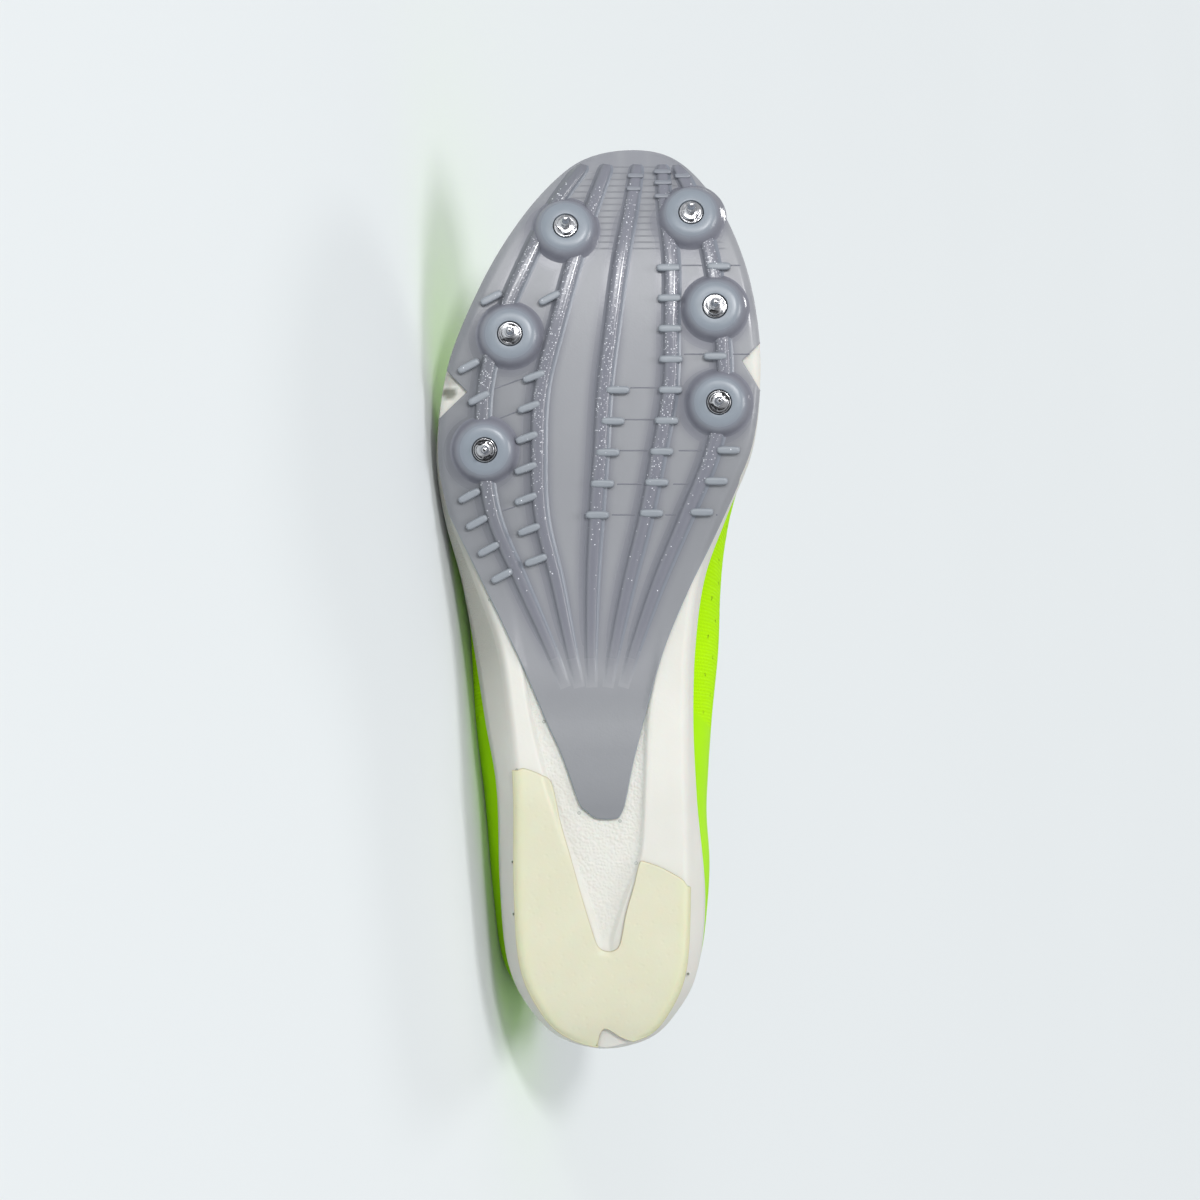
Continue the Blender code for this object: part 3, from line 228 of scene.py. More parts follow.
# Runs of cross lugs: rib, first x, pitch, number, first and last place beside the rib, and tilt
LUG_RUNS = [
    (1, 0.832, 0.0, 1, -0.058, -0.058, 28), (1, 0.756, 0.0354, 2, -0.060, -0.012, 28),
    (1, 0.6125, 0.0296, 4, -0.058, -0.050, 28), (2, 0.832, 0.0, 1, -0.043, -0.043, 28),
    (2, 0.7446, 0.0339, 7, -0.028, -0.046, 20), (3, 0.7296, 0.0346, 5, 0.044, 0.005, 0),
    (4, 0.866, 0.0341, 9, -0.010, 0.018, 0), (5, 0.8675, 0.0, 1, 0.020, 0.020, 0),
    (5, 0.767, 0.0, 1, -0.025, -0.025, 0), (5, 0.663, 0.0343, 3, 0.050, 0.045, 0),
]

# Low steps on the ribs' toe ends: rib, x, width in metres
TOE_STEPS = [
    (3, 0.9702, 0.0050), (3, 0.9555, 0.0046), (4, 0.9750, 0.0056), (4, 0.9625, 0.0056),
    (4, 0.9470, 0.0060), (5, 0.9700, 0.0050), (5, 0.9490, 0.0046),
]

BOSSES = [
    (0.908, -0.107), (0.790, -0.279), (0.663, -0.357),
    (0.923, 0.283), (0.820, 0.356), (0.715, 0.368),
]


def smooth(value):
    """Soft step from 0 to 1."""
    value = np.clip(value, 0.0, 1.0)
    return value * value * (3.0 - 2.0 * value)


def spline(a, b, c, d, u):
    """Smooth curve from b to c, with a and d beyond them."""
    return 0.5 * (2.0 * b + (c - a) * u + (2.0 * a - 5.0 * b + 4.0 * c - d) * u ** 2
                  + (3.0 * b - a - 3.0 * c + d) * u ** 3)


def around(values, station):
    """Smooth value around the shoe; stations 0 to LAST_ROW are lateral, then back on the medial."""
    station = np.mod(station, RING)
    i = np.floor(station).astype(int)
    return spline(*(values[(i + k) % RING] for k in (-1, 0, 1, 2)), station - i)


def along(rows, column, x):
    """Smooth value of a table's column at shares of the length."""
    xs = rows[:, 0]
    ys = rows[:, column]
    x = np.clip(x, xs[0], xs[-1])
    slope = np.gradient(ys, xs)
    slope[1:-1] = (ys[2:] - ys[:-2]) / (xs[2:] - xs[:-2])
    i = np.clip(np.searchsorted(xs, x, "right") - 1, 0, len(xs) - 2)
    width = xs[i + 1] - xs[i]
    u = (x - xs[i]) / width
    return (ys[i] * (1 - u) ** 2 * (1 + 2 * u) + ys[i + 1] * u ** 2 * (3 - 2 * u)
            + width * u * (1 - u) * (slope[i] * (1 - u) - slope[i + 1] * u))


def ring_of(rows, lateral, medial, unit):
    """A table's lateral and medial columns as values around the shoe."""
    return np.concatenate([rows[:, lateral], rows[-2:0:-1, medial]]) * unit


OUTLINE_X = ring_of(SOLE_ROWS, 0, 3, LENGTH)
OUTLINE_Y = ring_of(SOLE_ROWS, 1, 4, BALL_WIDTH)
FLARE = ring_of(SOLE_ROWS, 2, 5, BALL_WIDTH)
TOP_X = ring_of(UPPER_ROWS, 0, 0, LENGTH)
TOP_Y = ring_of(UPPER_ROWS, 1, 3, BALL_WIDTH)
TOP_Z = ring_of(UPPER_ROWS, 2, 4, INSTEP_HEIGHT)
BULGE = ring_of(UPPER_ROWS, 5, 6, BALL_WIDTH)
LIFT = ring_of(UPPER_ROWS, 7, 7, INSTEP_HEIGHT)
REACH = ring_of(UPPER_ROWS, 8, 8, INSTEP_HEIGHT)
CROWN = ring_of(UPPER_ROWS, 9, 9, math.pi / 180.0)


def unit(vectors):
    """Vectors of length one."""
    return vectors / np.maximum(np.linalg.norm(vectors, axis=-1, keepdims=True), 1e-12)


def outline(station, outset=0.0):
    """Points of the sole's edge, moved out square to it."""
    step = 0.02
    x = around(OUTLINE_X, station)
    y = around(OUTLINE_Y, station)
    dx = around(OUTLINE_X, station + step) - around(OUTLINE_X, station - step)
    dy = around(OUTLINE_Y, station + step) - around(OUTLINE_Y, station - step)
    size = np.hypot(dx, dy)
    return np.stack([x + dy / size * outset, y - dx / size * outset, np.zeros_like(x)], -1)


EDGE_ROWS = np.linspace(0.0, LAST_ROW, 8 * LAST_ROW + 1)
LATERAL_EDGE = outline(EDGE_ROWS)
MEDIAL_EDGE = outline(RING - EDGE_ROWS)


def lateral_y(x):
    """The lateral edge's y along the shoe."""
    return np.interp(x, LATERAL_EDGE[:, 0], LATERAL_EDGE[:, 1])


def medial_y(x):
    """The medial edge's y along the shoe."""
    return np.interp(x, MEDIAL_EDGE[:, 0], MEDIAL_EDGE[:, 1])


def tread(x):
    """Height of the sole's lowest line."""
    return np.maximum(along(SIDE_ROWS, 1, x / LENGTH), 0.0) * TOE_SPRING


def channel(x):
    """The channel's lateral and medial edges in shares of the breadth, and its depth share."""
    share = x / LENGTH
    depth = np.interp(share, CHANNEL_ROWS[:, 0], CHANNEL_ROWS[:, 3])
    return along(CHANNEL_ROWS, 1, share), along(CHANNEL_ROWS, 2, share), smooth(depth)


def across(x, y):
    """Share of the sole's breadth, from the lateral to the medial edge."""
    return (y - lateral_y(x)) / np.maximum(medial_y(x) - lateral_y(x), 1e-6)


def from_edge(x, y):
    """Distance from the nearer edge of the sole."""
    return np.minimum(y - lateral_y(x), medial_y(x) - y)


def in_channel(part, low, high):
    """One between the channel's two edges, with soft sides."""
    return smooth((part - low) / CHANNEL_SOFT) * smooth((high - part) / CHANNEL_SOFT)


def lateral_shade(x, part):
    """How much painted shade darkens the plastic towards the lateral side, which faces away from the
    light.
    """
    return smooth((0.42 - part) / 0.36) * smooth((x / LENGTH - 0.42) / 0.2)


def underside(x, y):
    """Height of the tread surface, with the channel and the rolled edge."""
    low, high, depth = channel(x)
    inside = in_channel(across(x, y), low, high)
    roll = np.clip(1.0 - from_edge(x, y) / ROLL_RADIUS, 0.0, 1.0)
    return tread(x) + depth * CHANNEL_DEPTH * inside + ROLL_LIFT * roll * roll


def bed(x):
    """Height of the footbed."""
    return tread(x) + PLATE_THICKNESS + FIT_GAP + along(SIDE_ROWS, 2, x / LENGTH) * HEEL_FOAM


def rim_top(x):
    """Height of the foam's rim around the upper."""
    return bed(x) + along(SIDE_ROWS, 3, x / LENGTH) * RIM_HEIGHT


FLOOR_UP = np.array([POSE[2][0], POSE[2][1], POSE[2][2]])
FLOOR_LIFT = POSE[2][3]


def form(station, share):
    """Points of the upper's outer form, pressed flat where the shoe lies on the floor."""
    station, share = np.broadcast_arrays(np.asarray(station, float), np.asarray(share, float))
    foot = outline(station, around(FLARE, station) - RIM_WIDTH - FIT_GAP)
    low = foot.copy()
    low[..., 2] = bed(foot[..., 0]) + FIT_GAP
    start = foot.copy()
    start[..., 2] = rim_top(foot[..., 0]) + FIT_GAP
    top = np.stack([around(v, station) for v in (TOP_X, TOP_Y, TOP_Z)], -1)
    swell = start + unit(outline(station, 0.001) - outline(station)) * (
        around(BULGE, station)[..., None])
    swell[..., 2] += around(LIFT, station)
    side = foot - top
    side[..., 2] = 0.0
    side = unit(side)
    crown = around(CROWN, station)[..., None]
    hold = top + around(REACH, station)[..., None] * (
        side * np.cos(crown) - np.array([0.0, 0.0, 1.0]) * np.sin(crown))
    t = np.clip((share - BASE_SHARE) / (1.0 - BASE_SHARE), 0.0, 1.0)[..., None]
    s = 1.0 - t
    curve = start * s ** 3 + swell * 3 * s * s * t + hold * 3 * s * t * t + top * t ** 3
    foot_part = np.clip(share / BASE_SHARE, 0.0, 1.0)[..., None]
    points = np.where(share[..., None] <= BASE_SHARE, low + (start - low) * foot_part, curve)
    depth = np.maximum(-(points @ FLOOR_UP) - FLOOR_LIFT, 0.0)
    return points + depth[..., None] * FLOOR_UP


def form_normal(station, share):
    """Outward normals of the upper's form."""
    share = np.asarray(share, float)
    step = form(station + 0.05, share) - form(station - 0.05, share)
    rise = form(station, np.minimum(share + 0.01, 1.0)) - form(station, np.maximum(share - 0.01, 0))
    return unit(np.cross(step, rise))


def row_of(station):
    """Row number of a station on either side."""
    station = np.mod(station, RING)
    return np.minimum(station, RING - station)


def skin(station, share, offset=0.0):
    """The upper's outer face with the eyestay's step, moved out by an offset."""
    step = EYESTAY_STEP * smooth(row_of(station) - (COLLAR_LAST_ROW - 0.5))
    step = step * smooth((share - EYESTAY_SHARE) / 0.012)
    out = np.broadcast_to(step + offset, np.broadcast(station, share).shape)
    return form(station, share) + form_normal(station, share) * out[..., None]


def lining(station, share, offset=0.0):
    """The upper's inner face with the padded collar, moved in by an offset."""
    pad = COLLAR_PAD * smooth((share - PAD_SHARE) / 0.2)
    pad = pad * (1.0 - smooth((row_of(station) - COLLAR_LAST_ROW + 2.0) / 2.0))
    inward = np.broadcast_to(WALL + pad + offset, np.broadcast(station, share).shape)
    return form(station, share) - form_normal(station, share) * inward[..., None]


def throat(row, share, offset):
    """The sheet that follows the wall at the throat and bridges it, share 0 lateral to 1 medial."""
    row, share = np.broadcast_arrays(np.asarray(row, float), np.asarray(share, float))

    def wall(station, wall_share):
        if offset < 0.0:
            return lining(station, wall_share, -offset - WALL)
        return skin(station, wall_share, offset)

    rise_to = 1.0 - TONGUE_EDGE_SHARE
    low = wall(row, TONGUE_EDGE_SHARE + rise_to * np.clip(share / THROAT_SIDE, 0, 1))
    high = wall(RING - row, TONGUE_EDGE_SHARE + rise_to * np.clip((1 - share) / THROAT_SIDE, 0, 1))
    start = wall(row, np.ones_like(row))
    end = wall(RING - row, np.ones_like(row))
    span = np.linalg.norm(end - start, axis=-1, keepdims=True)
    slope = np.full_like(row, SLOPE_SHARE)
    rise = unit(start - wall(row, slope)) * span
    fall = unit(wall(RING - row, slope) - end) * span
    t = np.clip((share - THROAT_SIDE) / (1.0 - 2.0 * THROAT_SIDE), 0.0, 1.0)[..., None]
    bridge = (start * (2 * t ** 3 - 3 * t * t + 1) + rise * (t ** 3 - 2 * t * t + t)
              + end * (3 * t * t - 2 * t ** 3) + fall * (t ** 3 - t * t))
    share = share[..., None]
    return np.where(share < THROAT_SIDE, low, np.where(share > 1.0 - THROAT_SIDE, high, bridge))


def stack(x, y, z):
    """Points from three coordinates."""
    return np.stack(np.broadcast_arrays(x, y, z), -1)


class Shape:
    """Points, faces and paint values of one piece, gathered shell by shell."""

    def __init__(self, *paints):
        self.points = []
        self.faces = []
        self.values = {name: [] for name in paints}
        self.count = 0

    def add(self, points, faces, **values):
        """Adds a shell; faces is a list of arrays of corner numbers."""
        shape = points.shape[:-1]
        for block in faces:
            self.faces += (np.asarray(block) + self.count).tolist()
        for name, parts in self.values.items():
            parts.append(np.broadcast_to(values.get(name, 0.0), shape).reshape(-1))
        self.points.append(points.reshape(-1, 3))
        self.count += len(self.points[-1])

    def grid(self, points, wrap_rows=False, wrap_columns=False, caps=False, keep=None, **values):
        """Adds a grid of points as rows of quads, closed on itself or capped where asked."""
        rows, columns = points.shape[:2]
        index = np.arange(rows * columns).reshape(rows, columns)
        if wrap_rows:
            index = np.concatenate([index, index[:1]])
        if wrap_columns:
            index = np.concatenate([index, index[:, :1]], 1)
        quads = np.stack([index[:-1, :-1], index[:-1, 1:], index[1:, 1:], index[1:, :-1]], -1)
        faces = [quads.reshape(-1, 4) if keep is None else quads[keep]]
        if caps:
            faces += [[list(range(columns))[::-1]],
                      [list(range((rows - 1) * columns, rows * columns))]]
        self.add(points, faces, **values)

    def make(self, name, material):
        """The piece as an object, laid down over the frame and riding on it."""
        mesh = bpy.data.meshes.new(name)
        mesh.from_pydata(np.concatenate(self.points).tolist(), [], self.faces)
        for paint, parts in self.values.items():
            field = mesh.attributes.new(paint, "FLOAT", "POINT")
            field.data.foreach_set("value", np.concatenate(parts).astype(np.float32))
        mesh.materials.append(material)
        work = bmesh.new()
        work.from_mesh(mesh)
        bmesh.ops.recalc_face_normals(work, faces=work.faces)
        work.to_mesh(mesh)
        work.free()
        mesh.shade_smooth()
        mesh.set_sharp_from_angle(angle=SHARP_ANGLE)
        mesh.transform(POSE)
        thing = bpy.data.objects.new(name, mesh)
        bpy.context.scene.collection.objects.link(thing)
        bpy.context.view_layer.update()
        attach(thing, "root")
        return thing


def lengths(points):
    """Distance along a line of points at each of them."""
    return np.cumsum(np.linalg.norm(np.diff(points, axis=0, prepend=points[:1]), axis=1))


def circle(sides):
    """Angles around a circle."""
    return np.linspace(0, 2 * math.pi, sides, endpoint=False)


def curve_through(points, steps):
    """Smooth curve through hand-placed points, with a number of steps between two of them."""
    full = np.concatenate([[2 * points[0] - points[1]], points, [2 * points[-1] - points[-2]]])
    u = np.arange(steps)[:, None] / steps
    parts = [spline(*four, u) for four in zip(full, full[1:], full[2:], full[3:])]
    return np.concatenate(parts + [points[-1:]])


def even(points, spacing, corner=30.0):
    """A closed loop respaced evenly between its corners."""
    keep = np.linalg.norm(points - np.roll(points, 1, 0), axis=1) > 1e-6
    points = points[keep]
    ahead = unit(np.roll(points, -1, 0) - points)
    behind = unit(points - np.roll(points, 1, 0))
    turn = np.degrees(np.arccos(np.clip((ahead * behind).sum(1), -1, 1)))
    corners = np.nonzero(turn > corner)[0]
    if len(corners) == 0:
        corners = np.array([0])
    loop = []
    for a, b in zip(corners, np.append(corners[1:], corners[0] + len(points))):
        run = points[np.arange(a, b + 1) % len(points)]
        length = lengths(run)
        count = max(int(round(length[-1] / spacing)), 1)
        at = np.linspace(0, length[-1], count + 1)[:-1]
        loop.append(np.stack([np.interp(at, length, run[:, k]) for k in (0, 1)], -1))
    return np.concatenate(loop)


def moved_in(loop, distance):
    """A closed loop moved inwards, square to its line; the loop runs anticlockwise."""
    ahead = np.roll(loop, -1, 0) - loop
    behind = loop - np.roll(loop, 1, 0)
    normal = unit(np.stack([-(ahead + behind)[:, 1], (ahead + behind)[:, 0]], -1))
    edge = unit(np.stack([-ahead[:, 1], ahead[:, 0]], -1))
    miter = np.clip((normal * edge).sum(1, keepdims=True), 0.5, 1.0)
    return loop + normal * distance / miter


def edge_run(first, last, side, count=160):
    """Points of the sole's edge from one x to another, in shares of the length."""
    edge = LATERAL_EDGE if side < 0 else MEDIAL_EDGE
    station = np.interp([first * LENGTH, last * LENGTH], edge[:, 0], EDGE_ROWS)
    station = np.linspace(*station, count)
    return outline(station if side < 0 else RING - station)[:, :2]


def moulded_sheet(shape, loop, radius, spacing, paint):
    """A thin sheet under the foam with rounded edges; paint gives its values at x, y and rim."""
    loop = even(loop, spacing)
    after = np.roll(loop, -1, 0)
    if np.sum(loop[:, 0] * after[:, 1] - loop[:, 1] * after[:, 0]) < 0:
        loop = loop[::-1]
    inner = moved_in(loop, radius)
    low, high = inner.min(0), inner.max(0)
    grid = np.stack(np.meshgrid(np.arange(low[0], high[0], spacing),
                                np.arange(low[1], high[1], spacing * HEX_PITCH),
                                indexing="ij"), -1)
    grid[:, 1::2, 0] += spacing / 2.0
    grid = grid.reshape(-1, 2)
    inside = np.zeros(len(grid), bool)
    nearest = np.full(len(grid), np.inf)
    for a, b in zip(inner, np.roll(inner, -1, 0)):
        cross = (a[1] > grid[:, 1]) != (b[1] > grid[:, 1])
        slope = (b[0] - a[0]) * (grid[:, 1] - a[1]) / (b[1] - a[1] if b[1] != a[1] else 1e-12)
        inside ^= cross & (grid[:, 0] < a[0] + slope)
        nearest = np.minimum(nearest, ((grid - a) ** 2).sum(1))
    grid = grid[inside & (nearest > (0.6 * spacing) ** 2)]
    found = geometry.delaunay_2d_cdt(
        [Vector(p) for p in np.concatenate([inner, grid]).tolist()], [],
        [list(range(len(inner)))], 1, 1e-7)
    x, y = np.array([tuple(p) for p in found[0]]).T
    faces = [f for f in found[2] if len(f) == 3]
    face = stack(x, y, underside(x, y))
    shape.add(face, [faces], **paint(x, y, 0.0))
    shape.add(face + [0.0, 0.0, PLATE_THICKNESS], [[f[::-1] for f in faces]], **paint(x, y, 0.0))
    level = underside(inner[:, 0], inner[:, 1])
    rings = []
    for angle in np.radians([0, 22, 45, 68, 90]):
        ring = moved_in(loop, radius * (1.0 - math.sin(angle)))
        rings.append(stack(ring[:, 0], ring[:, 1], level + radius * (1.0 - math.cos(angle))))
    for ring in (loop, inner):
        rings.append(stack(ring[:, 0], ring[:, 1], level + PLATE_THICKNESS))
    rings = np.array(rings)
    rim = np.array([0.0, 0.1, 0.6, 1.0, 1.0, 1.0, 1.0])[:, None]
    shape.grid(rings, wrap_columns=True, **paint(rings[..., 0], rings[..., 1], rim))


def pill(shape, x, y, turn, length, width, height, base=0.0, power=3.0, **values):
    """A rounded bar standing out of the tread, its foot a little inside the surface."""
    level = np.array([-0.15, 0.0, 0.25, 0.5, 0.72, 0.88, 0.97, 1.0, 1.0])
    size = np.array([1.0, 1.0, 0.99, 0.97, 0.92, 0.82, 0.66, 0.38, 0.001])
    c, s = np.cos(circle(28)), np.sin(circle(28))
    reach = (np.abs(c) ** power + np.abs(s) ** power) ** (-1.0 / power)
    inset = (1.0 - size)[:, None] * width / 2.0
    a = (length / 2.0 - inset) * (reach * c)[None, :]
    b = (width / 2.0 - inset) * (reach * s)[None, :]
    px = x + a * math.sin(turn) + b * math.cos(turn)
    py = y + a * math.cos(turn) - b * math.sin(turn)
    pz = underside(px, py) - base - level[:, None] * height
    shape.grid(stack(px, py, pz), wrap_columns=True, **values)


def rib_line(number, x):
    """A rib's centre y, height and half width at shares of the length."""
    return (along(RIB_ROWS, number, x) * BALL_WIDTH, along(RIB_ROWS, 6, x) * RIB_HEIGHT,
            along(RIB_ROWS, 7, x) * RIB_WIDTH / 2.0)


def turned(profile, sides):
    """Rings of a turned body from radius and height pairs."""
    angle = circle(sides)
    return stack(profile[:, :1] * np.cos(angle), profile[:, :1] * np.sin(angle), profile[:, 1:])


def boss_frame(x_share, y_share):
    """Frame at a boss's foot: its Z runs out of the sole, square to the tread."""
    x = x_share * LENGTH
    y = y_share * BALL_WIDTH
    reach = BOSS_DIAMETER * 0.3
    rise_x = (underside(x + reach, y) - underside(x - reach, y)) / (2.0 * reach)
    rise_y = (underside(x, y + reach) - underside(x, y - reach)) / (2.0 * reach)
    out = Vector((float(rise_x), float(rise_y), -1.0)).normalized()
    right = Vector((0.0, 1.0, 0.0)).cross(out).normalized()
    turn = Matrix((right, out.cross(right), out)).transposed().to_4x4()
    return Matrix.Translation(Vector((x, y, float(underside(x, y))))) @ turn


def placed(points, matrix):
    """Points moved by a matrix."""
    matrix = np.array(matrix)
    return points @ matrix[:3, :3].T + matrix[:3, 3]


def linear(code):
    """A hex colour as linear red, green, blue and alpha."""
    parts = [int(code[k:k + 2], 16) / 255.0 for k in (0, 2, 4)]
    return (*(v / 12.92 if v <= 0.04045 else ((v + 0.055) / 1.055) ** 2.4 for v in parts), 1.0)


def node(tree, kind, inputs=None, **settings):
    """Adds one node, sets it up, and fills or links its sockets."""
    made = tree.nodes.new(kind)
    for key, value in settings.items():
        setattr(made, key, value)
    for key, value in (inputs or {}).items():
        if isinstance(value, bpy.types.NodeSocket):
            tree.links.new(value, made.inputs[key])
        else:
            made.inputs[key].default_value = value
    return made


def shoe_place(tree):
    """Coordinates in the shoe's own frame, so that patterns run along and across the shoe."""
    back = POSE.inverted()
    stood = node(tree, "ShaderNodeMapping", {
        0: node(tree, "ShaderNodeTexCoord").outputs["Object"],
        1: tuple(back.to_translation()), 2: tuple(back.to_euler())})
    return stood.outputs[0]


def surface(name, **values):
    """A new material with its shader's own values set."""
    made = bpy.data.materials.new(name)
    made.use_nodes = True
    shader = made.node_tree.nodes["Principled BSDF"]
    for key, value in values.items():
        shader.inputs[key.replace("_", " ")].default_value = value
    return made, made.node_tree, shader


def colour_setting(name, description, code):
    """A colour that a user may change."""
    return bpy.props.FloatVectorProperty(name=name, description=description, subtype="COLOR",
                                         size=4, min=0.0, max=1.0, default=linear(code))


class ShoeSettings(bpy.types.PropertyGroup):
    """Sizes and colours of the dressing."""

    plate_colour: colour_setting("Plate colour", "Grey of the moulded plate", "97989c")
    foam_colour: colour_setting("Foam colour", "Off-white of the midsole", "dddcd6")
    rubber_colour: colour_setting("Rubber colour", "Cream of the heel rubber", "d8d6bf")
    knit_colour: colour_setting("Knit colour", "Lime of the upper and tongue", "c2ff00")
    cloth_colour: colour_setting("Insole colour", "Pale cloth of the insole", "dfe2df")
    lace_colour: colour_setting("Lace colour", "White of the woven lace", "eff0ea")
    steel_colour: colour_setting("Steel colour", "Bright turned steel of sockets and pins", "c9c9cc")
    knit_pitch: bpy.props.FloatProperty(
        name="Knit pitch", description="Width of one knit stitch", unit="LENGTH",
        min=0.0004, max=0.004, default=0.0010)
    hairline_height: bpy.props.FloatProperty(
        name="Hairline height", description="Height of the fine ribs between the lugs",
        unit="LENGTH", min=0.0, max=0.001, default=0.00014)


def settings():
    """The scene's shoe settings."""
    return bpy.context.scene.track_spike


# Fine raised lines between the lugs: two ends each, x and y in millimetres
HAIRLINES = [
    (243.2, 25.2, 243.2, 47.0), (215.4, 26.0, 215.4, 46.4), (205.0, 9.4, 205.0, 18.5),
    (195.1, 7.7, 195.1, 17.7), (185.5, 6.1, 185.5, 16.0), (185.5, 24.4, 185.5, 36.2),
    (175.1, 5.3, 175.1, 14.4), (175.1, 22.7, 175.1, 28.5), (165.6, 3.6, 165.6, 11.0),
    (165.6, 20.2, 165.6, 28.1), (165.6, 36.0, 165.6, 38.4), (204.6, -32.9, 207.9, -23.8),
    (195.1, -32.1, 198.0, -24.6), (166.8, -30.4, 168.1, -26.3),
]


def plate_material():
    """Injection-moulded nylon: satin grey skin, glossier ribs with glitter, frosted lugs."""
    made, tree, shader = surface("grey_moulded_nylon", Roughness=0.34, IOR=1.52)
    place = shoe_place(tree)
    shade, frost, fleck, groove, thick = (
        node(tree, "ShaderNodeAttribute", attribute_name=name).outputs["Fac"]
        for name in ("shade", "frost", "fleck", "groove", "thick"))
    base = settings().plate_colour
    cloud = node(tree, "ShaderNodeTexNoise", {"Vector": place, "Scale": 45.0, "Detail": 3.0})
    drift = node(tree, "ShaderNodeMix", {0: cloud.outputs["Fac"], 6: linear("919297"), 7: base},
                 data_type="RGBA")
    dark = node(tree, "ShaderNodeMix", {0: shade, 6: drift.outputs[2], 7: linear("7b7c86")},
                data_type="RGBA")
    # Painted shade: darker towards the lateral side, which faces away from the light, on the ribs'
    # lateral flanks and towards the tail
    dense = node(tree, "ShaderNodeMix", {0: thick, 6: dark.outputs[2], 7: linear("6c6f73")},
                 data_type="RGBA")
    # Frosted lugs and boss faces, and painted highlights on the ribs' medial flanks and the plate's
    # rim
    pale = node(tree, "ShaderNodeMix", {0: frost, 6: dense.outputs[2], 7: linear("8f9ca6")},
                data_type="RGBA")
    # Glitter flakes of about 0.4 mm, dense at the toe and sparse towards the arch; their glints are
    # painted near-white into the colour
    flakes = node(tree, "ShaderNodeTexVoronoi", {"Vector": place, "Scale": 1900.0})
    pick = node(tree, "ShaderNodeSeparateColor", {0: flakes.outputs["Color"]})
    chance = node(tree, "ShaderNodeMath", {0: pick.outputs[0], 1: fleck}, operation="LESS_THAN")
    near = node(tree, "ShaderNodeMath", {0: flakes.outputs["Distance"], 1: 0.36},
                operation="LESS_THAN")
    lit = node(tree, "ShaderNodeMath", {0: chance.outputs[0], 1: near.outputs[0]},
               operation="MULTIPLY")
    glint = node(tree, "ShaderNodeMapRange", {0: pick.outputs[1], 3: -0.10, 4: 1.0})
    share = node(tree, "ShaderNodeMath", {0: lit.outputs[0], 1: glint.outputs[0]},
                 operation="MULTIPLY")
    colour = node(tree, "ShaderNodeMix", {0: share.outputs[0], 6: pale.outputs[2],
                                          7: linear("f4f6fb")}, data_type="RGBA")
    gloss = node(tree, "ShaderNodeMapRange", {0: shade, 3: 0.36, 4: 0.16})
    frosted = node(tree, "ShaderNodeMix", {0: frost, 2: gloss.outputs[0], 3: 0.45})
    tree.links.new(frosted.outputs[0], shader.inputs["Roughness"])
    grain = node(tree, "ShaderNodeTexNoise", {"Vector": place, "Scale": 1400.0, "Detail": 2.0})
    fine = node(tree, "ShaderNodeBump", {"Height": grain.outputs["Fac"], "Strength": 0.25,
                                         "Distance": 0.00008})
    # Toe grooves 2 mm apart, thin, with painted shade in them, faded in by their own mask
    split = node(tree, "ShaderNodeSeparateXYZ", {0: place})
    phase = node(tree, "ShaderNodeMath", {0: split.outputs[0], 1: 2.0 * math.pi / 0.002},
                 operation="MULTIPLY")
    wave = node(tree, "ShaderNodeMath", {0: phase.outputs[0]}, operation="SINE")
    crest = node(tree, "ShaderNodeMapRange", {0: wave.outputs[0], 1: 0.72, 2: 0.98})
    cut = node(tree, "ShaderNodeMath", {0: crest.outputs[0], 1: groove}, operation="MULTIPLY")
    grooves = node(tree, "ShaderNodeBump", {"Height": cut.outputs[0], "Distance": 0.00014,
                                            "Normal": fine.outputs[0]}, invert=True)
    tree.links.new(grooves.outputs[0], shader.inputs["Normal"])
    recess_shade = node(tree, "ShaderNodeMath", {0: cut.outputs[0], 1: 0.45}, operation="MULTIPLY")
    lined = node(tree, "ShaderNodeMix", {0: recess_shade.outputs[0], 6: colour.outputs[2],
                                         7: linear("6f7178")}, data_type="RGBA")
    tree.links.new(lined.outputs[2], shader.inputs["Base Color"])
    return made


